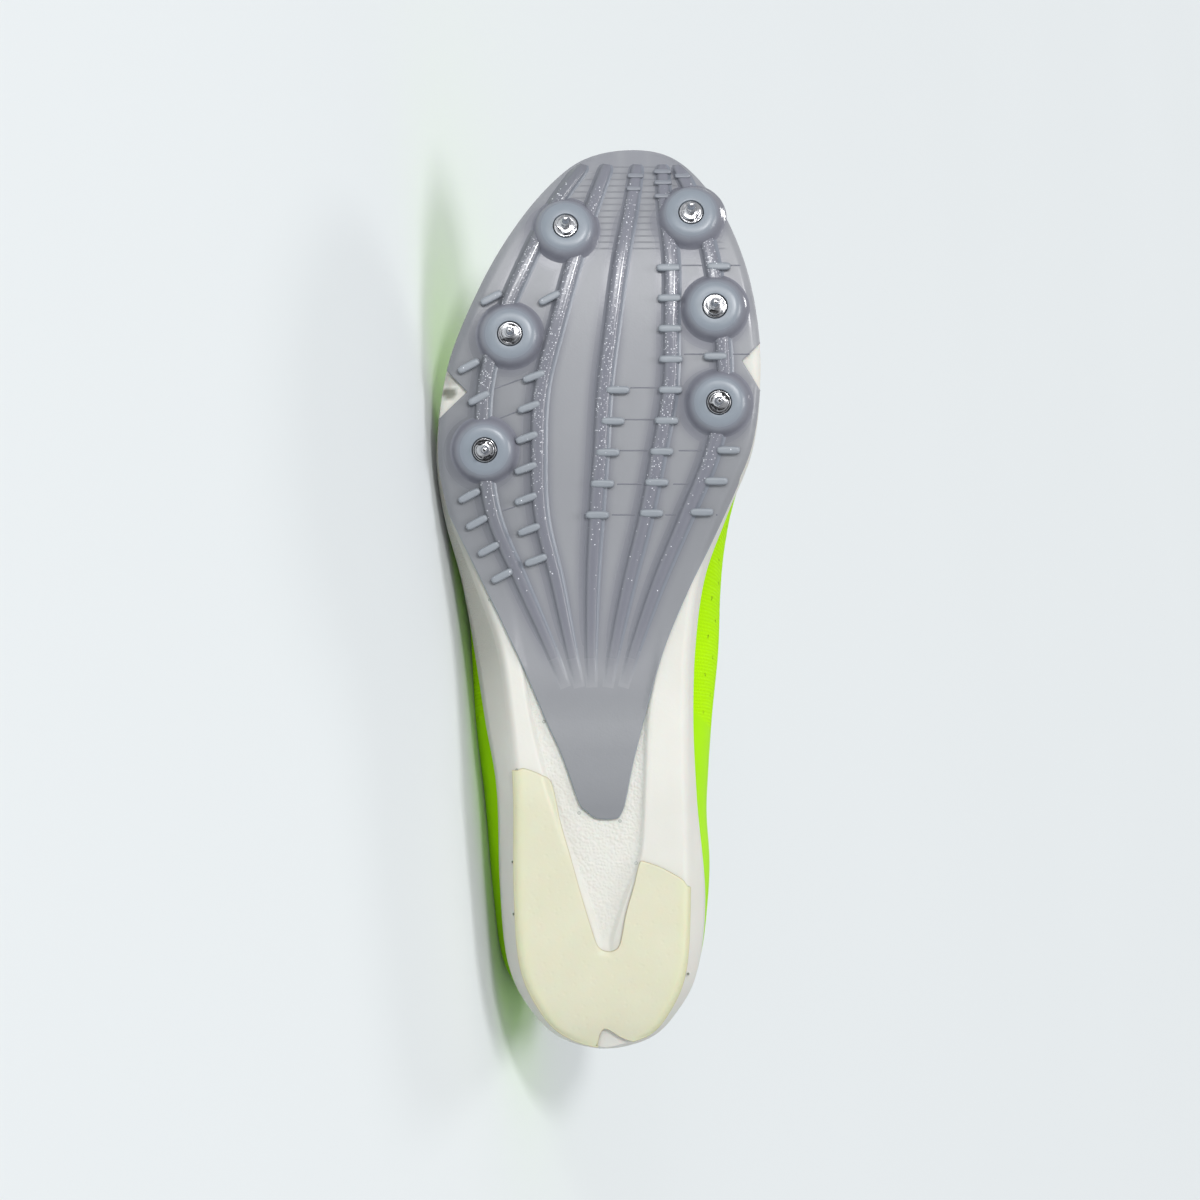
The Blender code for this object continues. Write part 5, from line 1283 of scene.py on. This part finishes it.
class SHOE_OT_upper(bpy.types.Operator):
    """Hollow knit wall with its eyestay film, heel counter, creases and eyelets"""

    bl_idname = "shoe.upper"
    bl_label = "Upper"

    def execute(self, context):
        stations = np.linspace(0, RING, 20 * RING + 1)[:-1][:, None]
        shares = np.concatenate([
            np.linspace(0, BASE_SHARE, 5)[:-1], np.linspace(BASE_SHARE, 0.82, 34)[:-1],
            np.linspace(0.82, 0.85, 5)[:-1], np.linspace(0.85, 1.0, 13)])[None, :]
        plain = form(stations, shares)
        rise = np.concatenate([np.zeros((len(plain), 1)), np.cumsum(np.linalg.norm(
            np.diff(plain, axis=1), axis=2), 1)], 1)
        middle = plain[:, 20]
        steps = np.linalg.norm(np.roll(middle, -1, 0) - middle, axis=1)
        girth = np.concatenate([[0], np.cumsum(steps)[:-1]])[:, None] + 0 * rise
        dent = self.creases(stations, shares, girth, rise)
        outer = skin(stations, shares, -dent)
        inner_shares = np.concatenate([np.linspace(0, PAD_SHARE, 14)[:-1],
                                       np.linspace(PAD_SHARE, 1, 10)])
        inner_dent = np.array([np.interp(inner_shares, shares[0], d) for d in dent])
        inner = lining(stations, inner_shares[None, :], inner_dent)
        edge_out = unit(form(stations, np.array([[1.0]])) - form(stations, np.array([[0.97]])))
        rim = []
        for turn in np.radians([60, 30, 0, -30, -60]):
            share = 0.5 - 0.5 * math.sin(turn)
            rim.append(outer[:, -1:] * share + inner[:, -1:] * (1 - share)
                       + edge_out * WALL * 0.35 * math.cos(turn))
        points = np.concatenate([outer] + rim + [inner[:, ::-1]], 1)
        rest = points.shape[1] - shares.shape[1]
        ring = row_of(stations)
        x, z = plain[..., 0], plain[..., 2]
        stay = smooth((shares - EYESTAY_SHARE) / 0.01) * smooth((ring - 6.6) / 0.5)
        counter = smooth((0.1085 - 0.65 * (z - 0.022) - x) / 0.0015)
        panel = np.maximum(stay, counter * smooth((0.66 - shares) / 0.02))
        perf = smooth((x - 0.094) / 0.004) * smooth((0.205 - x) / 0.01) * (1 - panel)
        perf = perf * smooth((shares - 0.16) / 0.05) * smooth((0.66 - shares) / 0.06)

        # Distance from the seams: along the eyestay's film, and below the collar's edge
        seam_share = np.where(ring > COLLAR_LAST_ROW, EYESTAY_SHARE + 0.025, 0.93)[:, 0]
        seam = rise - np.array([[np.interp(s, shares[0], r)] for s, r in zip(seam_share, rise)])
        seam = seam + 1.0 * (np.abs(ring - COLLAR_LAST_ROW) < 0.25)

        def wide(values, fill):
            return np.pad(values, ((0, 0), (0, rest)), constant_values=float(fill))

        shape = Shape(*KNIT_PAINTS)
        back = rise[:, -1:] + np.linspace(0, 0.06, rest)
        shape.grid(points, wrap_rows=True, wrap_columns=True, keep=self.eyelet_mask(points),
                   girth=np.concatenate([girth, girth[:, :rest]], 1),
                   rise=np.concatenate([rise, back], 1), panel=wide(panel, 0),
                   perf=wide(perf, 0), lining=wide(0 * panel, 1), seam=wide(seam, 1))
        self.eyelets(shape)
        upper = shape.make("upper_knit", knit_material())
        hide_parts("upper")
        return {"FINISHED"}

    def creases(self, stations, shares, girth, rise):
        """Depth of the hand-placed creases over the wall."""
        dent = np.zeros(girth.shape)
        for s1, v1, s2, v2, width, depth in CREASES:
            ends = []
            for s, v in ((s1, v1), (s2, v2)):
                i = int(round(s / RING * len(girth))) % len(girth)
                ends.append(np.array([girth[i, 0], np.interp(v, shares[0], rise[i])]))
            run = ends[1] - ends[0]
            length = np.linalg.norm(run)
            run = run / length
            du = girth - ends[0][0]
            dv = rise - ends[0][1]
            along_line = du * run[0] + dv * run[1]
            off = -du * run[1] + dv * run[0] + 0.0012 * np.sin(along_line / 0.011)
            fade = smooth(along_line / length * 3.0) * smooth((1 - along_line / length) * 3.0)
            dent += depth / 1000.0 * np.exp(-(off / (width / 1000.0)) ** 2) * fade
        return dent

    def eyelet_places(self):
        """Centre and outward direction of each eyelet."""
        for row in EYELET_ROWS:
            for station in (row, RING - row):
                at = np.array([station]), np.array([EYELET_SHARE])
                yield form(*at)[0], form_normal(*at)[0]

    def eyelet_mask(self, points):
        """Which quads stay, where the eyelets are open."""
        pairs = points + np.roll(points, -1, 0)
        quads = (pairs + np.roll(pairs, -1, 1)) / 4.0
        keep = np.ones(quads.shape[:2], bool)
        for centre, axis in self.eyelet_places():
            gap = quads - centre
            height = gap @ axis
            away = np.linalg.norm(gap - height[..., None] * axis, axis=-1)
            keep &= ~((away < EYELET_DIAMETER / 2.0 + FIT_GAP) & (np.abs(height) < 0.005))
        return keep

    def eyelets(self, shape):
        """A thin rolled film ring in each punched hole."""
        outside, inside = EYESTAY_STEP, -WALL
        profile = np.array([
            (0.0012, outside - 0.0001), (0.0010, outside + 0.0002), (0.0006, outside + 0.00035),
            (0.0002, outside + 0.0002), (0.0, outside - 0.0001), (0.0, inside + 0.0001),
            (0.0002, inside - 0.0002), (0.0006, inside - 0.0003), (0.0011, inside - 0.0001),
            (0.0012, inside + 0.0002)]) + [EYELET_DIAMETER / 2.0, 0.0]
        for centre, axis in self.eyelet_places():
            turn = Vector(axis).to_track_quat("Z", "Y").to_matrix().to_4x4()
            matrix = Matrix.Translation(Vector(centre)) @ turn
            shape.grid(placed(turned(profile, 40), matrix), wrap_columns=True, wrap_rows=True,
                       panel=1.0, seam=1.0)


def cloth_material():
    """Brushed polyester cloth on the insole: pale, matte, with a fine weave."""
    made, tree, shader = surface("pale_brushed_cloth", Roughness=0.88, Sheen_Weight=0.2)
    place = shoe_place(tree)
    cloud = node(tree, "ShaderNodeTexNoise", {"Vector": place, "Scale": 90.0, "Detail": 3.0})
    tone = node(tree, "ShaderNodeMix", {0: cloud.outputs["Fac"], 6: linear("cfd4cf"),
                                        7: settings().cloth_colour}, data_type="RGBA")
    tree.links.new(tone.outputs[2], shader.inputs["Base Color"])
    weave = node(tree, "ShaderNodeTexVoronoi", {"Vector": place, "Scale": 1100.0,
                                                "Randomness": 0.35})
    bump = node(tree, "ShaderNodeBump", {"Height": weave.outputs["Distance"], "Strength": 0.5,
                                         "Distance": 0.0002})
    tree.links.new(bump.outputs[0], shader.inputs["Normal"])
    return made


class SHOE_OT_insole(bpy.types.Operator):
    """Cloth-covered insole on the bed"""

    bl_idname = "shoe.insole"
    bl_label = "Insole"

    def execute(self, context):
        inset = RIM_WIDTH + FIT_GAP + WALL + INSOLE_CLEARANCE
        rows = np.linspace(0.02, LAST_ROW - 0.02, 10 * LAST_ROW + 1)[:, None]
        lateral = outline(rows, around(FLARE, rows) - inset)
        medial = outline(RING - rows, around(FLARE, RING - rows) - inset)
        share = np.linspace(0, 1, 33)[None, :]
        line = lateral + (medial - lateral) * share[..., None]
        span = np.linalg.norm(medial - lateral, axis=-1)
        gap = np.minimum(share, 1 - share) * span
        round_edge = 0.0011 * (1 - np.clip(gap / 0.0022, 0, 1)) ** 2
        base = bed(line[..., 0]) + FIT_GAP
        top = stack(line[..., 0], line[..., 1], base + INSOLE_THICKNESS - round_edge)
        under = stack(line[..., 0], line[..., 1], base + 0.3 * round_edge)
        shape = Shape()
        shape.grid(np.concatenate([top, under[:, ::-1]], 1), wrap_columns=True, caps=True)
        insole = shape.make("insole_cloth_sheet", cloth_material())
        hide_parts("insole")
        return {"FINISHED"}


class SHOE_OT_tongue(bpy.types.Operator):
    """Padded knit tongue under the throat, its free end above the collar"""

    bl_idname = "shoe.tongue"
    bl_label = "Tongue"

    def execute(self, context):
        share = np.linspace(0, 1, 49)[None, :]
        rows = np.linspace(THROAT_FIRST_ROW + 0.3, LAST_ROW - 0.03, 90)[:, None]
        outside = -WALL - TONGUE_CLEARANCE
        top = throat(rows, share, outside)
        under = throat(rows, share, outside - TONGUE_THICKNESS)
        middle_share = np.array([[0.5]])
        centre = throat(rows[:1], middle_share, outside)[0, 0]
        step = throat(np.array([[THROAT_FIRST_ROW + 1.2625]]), middle_share, outside)[0, 0]
        run = (centre - step) / np.linalg.norm(centre - step) * TONGUE_TOP
        free = np.linspace(1, 0, 22)[:-1, None, None]
        narrow = 1.0 - 0.36 * free - 0.10 * free ** 8
        size = np.concatenate([narrow * (1.0 - 0.70 * free), narrow,
                               narrow * (1.0 - 0.40 * free)], 2)
        free_top = centre + run * free + (top[:1] - centre) * size
        under = np.concatenate([free_top + (under[:1] - top[:1]), under])
        top = np.concatenate([free_top, top])
        middle = (top + under) / 2.0
        half = (top - under) / 2.0
        side = np.minimum(share, 1 - share) / 0.05
        end = np.arange(len(top))[:, None] / 3.0
        plump = np.sqrt(1 - (1 - np.clip(side, 0, 1)) ** 2) * np.sqrt(
            1 - (1 - np.clip(end, 0, 1)) ** 2)
        quilt = 1.0 - 0.16 * sum(np.exp(-((share - line) / 0.012) ** 2) for line in (0.36, 0.64))
        plump = np.maximum(plump * quilt, 0.04)[..., None]
        loop = np.concatenate([middle + half * plump, (middle - half * plump)[:, ::-1]], 1)
        girth = lengths(top[40])
        shape = Shape(*KNIT_PAINTS)
        shape.grid(loop, wrap_columns=True, caps=True,
                   girth=np.concatenate([girth, girth[::-1] + 0.1]),
                   rise=lengths(top[:, 24])[:, None], lining=np.repeat([0.0, 0.6], 49), seam=1.0)
        tongue = shape.make("tongue_pad", bpy.data.materials["lime_warp_knit"])
        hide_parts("tongue")
        return {"FINISHED"}


def lace_material():
    """Flat woven polyester lace: white yarns crossing in a fine herringbone."""
    made, tree, shader = surface("white_woven_lace", Roughness=0.82, Sheen_Weight=0.15)
    run = node(tree, "ShaderNodeAttribute", attribute_name="run").outputs["Fac"]
    side = node(tree, "ShaderNodeAttribute", attribute_name="side").outputs["Fac"]
    # Yarns about 0.6 mm wide that lean both ways from the middle
    breadth = node(tree, "ShaderNodeMath", {0: side, 1: 1.0 / 0.0006}, operation="MULTIPLY")
    fold = node(tree, "ShaderNodeMath", {0: breadth.outputs[0], 1: 1.0}, operation="PINGPONG")
    down = node(tree, "ShaderNodeMath", {0: run, 1: 1.0 / 0.0007, 2: fold.outputs[0]},
                operation="MULTIPLY_ADD")
    yarn = node(tree, "ShaderNodeMath", {0: down.outputs[0], 1: 0.5}, operation="PINGPONG")
    rib = node(tree, "ShaderNodeMath", {0: fold.outputs[0], 1: 0.5}, operation="PINGPONG")
    both = node(tree, "ShaderNodeMath", {0: yarn.outputs[0], 1: rib.outputs[0]},
                operation="MULTIPLY")
    height = node(tree, "ShaderNodeMapRange", {0: both.outputs[0], 1: 0.0, 2: 0.14})
    # Painted shade where the yarns dip
    tone = node(tree, "ShaderNodeMix", {0: height.outputs[0], 6: linear("c3c6bd"),
                                        7: settings().lace_colour}, data_type="RGBA")
    tree.links.new(tone.outputs[2], shader.inputs["Base Color"])
    bump = node(tree, "ShaderNodeBump", {"Height": height.outputs[0], "Strength": 0.8,
                                         "Distance": 0.0002})
    tree.links.new(bump.outputs[0], shader.inputs["Normal"])
    return made


class SHOE_OT_laces(bpy.types.Operator):
    """The flat lace, crossing over the tongue and running down through the eyelets"""

    bl_idname = "shoe.laces"
    bl_label = "Laces"

    def execute(self, context):
        shape = Shape("run", "side")
        self.band(shape, EYELET_ROWS[-1], EYELET_ROWS[-1], False, LACE_STACK / 2.0)
        for low, high in zip(EYELET_ROWS, EYELET_ROWS[1:]):
            self.band(shape, high, low, False, 0.0)
            self.band(shape, high, low, True, LACE_STACK)
        lace = shape.make("lace_crossings", lace_material())
        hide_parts("laces")
        return {"FINISHED"}

    def band(self, shape, first, last, flip, stack_height):
        """One crossing: up through an eyelet, over the tongue, and down through another."""
        eyelet = THROAT_SIDE * (EYELET_SHARE - TONGUE_EDGE_SHARE) / (1.0 - TONGUE_EDGE_SHARE)
        offset = LACE_CLEARANCE + LACE_THICKNESS / 2.0 + stack_height
        share = np.linspace(0, 1, 81)
        bridge = eyelet + (1.0 - 2.0 * eyelet) * share
        if flip:
            bridge = 1.0 - bridge
        row = first + (last - first) * share
        low = throat(row, bridge, offset)
        normal = unit(throat(row, bridge, offset + 0.001) - low)
        path = low - normal * (LACE_DIP * np.sin(math.pi * share) ** 2)[:, None]
        depth = np.linspace(0.0, 1.0, 10)[1:, None]
        bend = np.sin(np.minimum(depth * 3.0, 1.0) * math.pi / 2.0)
        dives = []
        inwards = []
        for i, toward in ((0, 1), (-1, -2)):
            inward = unit(path[toward] - path[i])
            dives.append(path[i] - normal[i] * depth * (offset + WALL + 0.0006)
                         - inward * 0.0003 * bend)
            inwards.append(np.repeat(-inward[None], len(depth), 0))
        full = np.concatenate([dives[0][::-1], path, dives[1]])
        order = np.arange(len(full))
        ahead = unit(np.gradient(full, axis=0))
        normals = np.concatenate([inwards[0], normal, inwards[1]])
        for _ in range(8):
            normals[1:-1] = unit(normals[:-2] + 2 * normals[1:-1] + normals[2:])
        side = unit(np.cross(ahead, normals))
        up = unit(np.cross(side, ahead))
        grow = smooth(np.minimum(order, order[::-1]) / 14.0 - 0.45)
        width = (LACE_NARROW + (LACE_WIDE - LACE_NARROW) * grow)[:, None]
        c, s = np.cos(circle(20)), np.sin(circle(20))
        flat = np.sign(c) * np.abs(c) ** 0.5
        thick = np.sign(s) * np.abs(s) ** 0.8 * 0.00055
        points = (full[:, None] + side[:, None] * (flat * width)[..., None]
                  + up[:, None] * thick[:, None])
        shape.grid(points, wrap_columns=True, caps=True, run=lengths(full)[:, None],
                   side=flat * width)


def paper_material():
    """Matte seamless paper: plain, pale, with no grain that the eye can find."""
    made, tree, shader = surface("pale_seamless_paper", Roughness=0.92)
    place = node(tree, "ShaderNodeTexCoord").outputs["Object"]
    cloud = node(tree, "ShaderNodeTexNoise", {"Vector": place, "Scale": 2.0, "Detail": 2.0})
    tone = node(tree, "ShaderNodeMix", {0: cloud.outputs["Fac"], 6: linear("e6eaeb"),
                                        7: linear("e9edee")}, data_type="RGBA")
    tree.links.new(tone.outputs[2], shader.inputs["Base Color"])
    return made


def flag_material():
    """Black velvet: swallows light, so the steel and the gloss of the plate have a dark side."""
    made, tree, shader = surface("black_velvet_flag", Roughness=0.95)
    place = node(tree, "ShaderNodeTexCoord").outputs["Object"]
    cloud = node(tree, "ShaderNodeTexNoise", {"Vector": place, "Scale": 4.0, "Detail": 2.0})
    tone = node(tree, "ShaderNodeMix", {0: cloud.outputs["Fac"], 6: linear("101112"),
                                        7: linear("17181a")}, data_type="RGBA")
    tree.links.new(tone.outputs[2], shader.inputs["Base Color"])
    return made


# Distant lamps: name, place that they shine from towards the shoe, angle in degrees and strength
SUNS = [
    ("key", (-0.30, -0.80, 0.60), 8.0, 1.25),
    ("top", (0.00, -0.25, 1.00), 24.0, 0.85),
    ("back", (-0.15, 0.80, 0.50), 12.0, 0.45),
]
# The soft box by the toe: place, width, height and watts
TOE_BOX = ((-0.86, -1.75, 0.47), 0.24, 0.50, 6.0)
LENS = 155.24
SENSOR = 36.0
CAMERA_DISTANCE = 1.6
CAMERA_X = 0.1392


class SHOE_OT_stage(bpy.types.Operator):
    """Pale paper floor, soft lamps, a dark flag, world light and the camera"""

    bl_idname = "shoe.stage"
    bl_label = "Stage"

    def execute(self, context):
        scene = context.scene
        x = np.linspace(-8.0, 8.0, 33)
        self.sheet("paper_floor", stack(x[:, None], x[None, :], 0.0), paper_material())
        x = np.linspace(-0.75, 0.75, 5)
        z = np.linspace(0.02, 1.15, 5)
        flag = self.sheet("dark_flag", stack(x[:, None], -2.6, z[None, :]), flag_material())
        # It is there for the reflections alone
        flag.visible_camera = False
        flag.visible_shadow = False
        flag.visible_diffuse = False
        for name, place, angle, strength in SUNS:
            data = bpy.data.lights.new(name, "SUN")
            data.angle = math.radians(angle)
            data.energy = strength
            self.lamp(name, data, place)
        place, width, height, watts = TOE_BOX
        data = bpy.data.lights.new("toe_box", "AREA")
        data.shape = "RECTANGLE"
        data.size = width
        data.size_y = height
        data.energy = watts
        self.lamp("toe_box", data, place)
        world = bpy.data.worlds.new("studio")
        world.use_nodes = True
        light = world.node_tree.nodes["Background"]
        light.inputs["Color"].default_value = linear("eef1f4")
        light.inputs["Strength"].default_value = 0.50
        scene.world = world
        data = bpy.data.cameras.new("camera")
        data.lens = LENS
        data.sensor_width = SENSOR
        data.clip_end = 50.0
        camera = bpy.data.objects.new("camera", data)
        scene.collection.objects.link(camera)
        facing = Matrix(((0, 1, 0, CAMERA_X), (1, 0, 0, 0.0), (0, 0, -1, -CAMERA_DISTANCE),
                         (0, 0, 0, 1)))
        camera.matrix_world = POSE @ facing
        scene.camera = camera
        scene.view_settings.view_transform = "Standard"
        return {"FINISHED"}

    def sheet(self, name, points, material):
        """A stage surface from a grid of points."""
        index = np.arange(points.shape[0] * points.shape[1]).reshape(points.shape[:2])
        quads = np.stack([index[:-1, :-1], index[1:, :-1], index[1:, 1:], index[:-1, 1:]], -1)
        mesh = bpy.data.meshes.new(name)
        mesh.from_pydata(points.reshape(-1, 3).tolist(), [], quads.reshape(-1, 4).tolist())
        mesh.materials.append(material)
        mesh.shade_smooth()
        thing = bpy.data.objects.new(name, mesh)
        bpy.context.scene.collection.objects.link(thing)
        return thing

    def lamp(self, name, data, place):
        """A lamp at a place, turned towards the shoe."""
        thing = bpy.data.objects.new(name, data)
        bpy.context.scene.collection.objects.link(thing)
        way = Vector((0.0, 0.0, 0.05)) - Vector(place)
        thing.matrix_world = Matrix.Translation(place) @ way.to_track_quat(
            "-Z", "Y").to_matrix().to_4x4()


OPERATORS = (SHOE_OT_midsole, SHOE_OT_rubber, SHOE_OT_plate, SHOE_OT_steel, SHOE_OT_upper,
             SHOE_OT_insole, SHOE_OT_tongue, SHOE_OT_laces, SHOE_OT_stage)


class SHOE_PT_panel(bpy.types.Panel):
    """Sizes, colours and pieces of the track spike shoe"""

    bl_label = "Track spike shoe"
    bl_space_type = "VIEW_3D"
    bl_region_type = "UI"
    bl_category = "Shoe"

    def draw(self, context):
        layout = self.layout
        for name in ShoeSettings.__annotations__:
            layout.prop(context.scene.track_spike, name)
        for kind in OPERATORS:
            layout.operator(kind.bl_idname)


def register():
    """Registers the settings, the operators and the panel."""
    bpy.utils.register_class(ShoeSettings)
    bpy.types.Scene.track_spike = bpy.props.PointerProperty(type=ShoeSettings)
    for kind in (*OPERATORS, SHOE_PT_panel):
        bpy.utils.register_class(kind)


def unregister():
    """Takes them away again."""
    for kind in reversed((*OPERATORS, SHOE_PT_panel)):
        bpy.utils.unregister_class(kind)
    del bpy.types.Scene.track_spike
    bpy.utils.unregister_class(ShoeSettings)


def main():
    """Dresses the whole shoe."""
    register()
    bpy.ops.shoe.midsole()
    bpy.ops.shoe.rubber()
    bpy.ops.shoe.plate()
    bpy.ops.shoe.steel()
    bpy.ops.shoe.upper()
    bpy.ops.shoe.insole()
    bpy.ops.shoe.tongue()
    bpy.ops.shoe.laces()
    bpy.ops.shoe.stage()


if __name__ == "__main__":
    main()
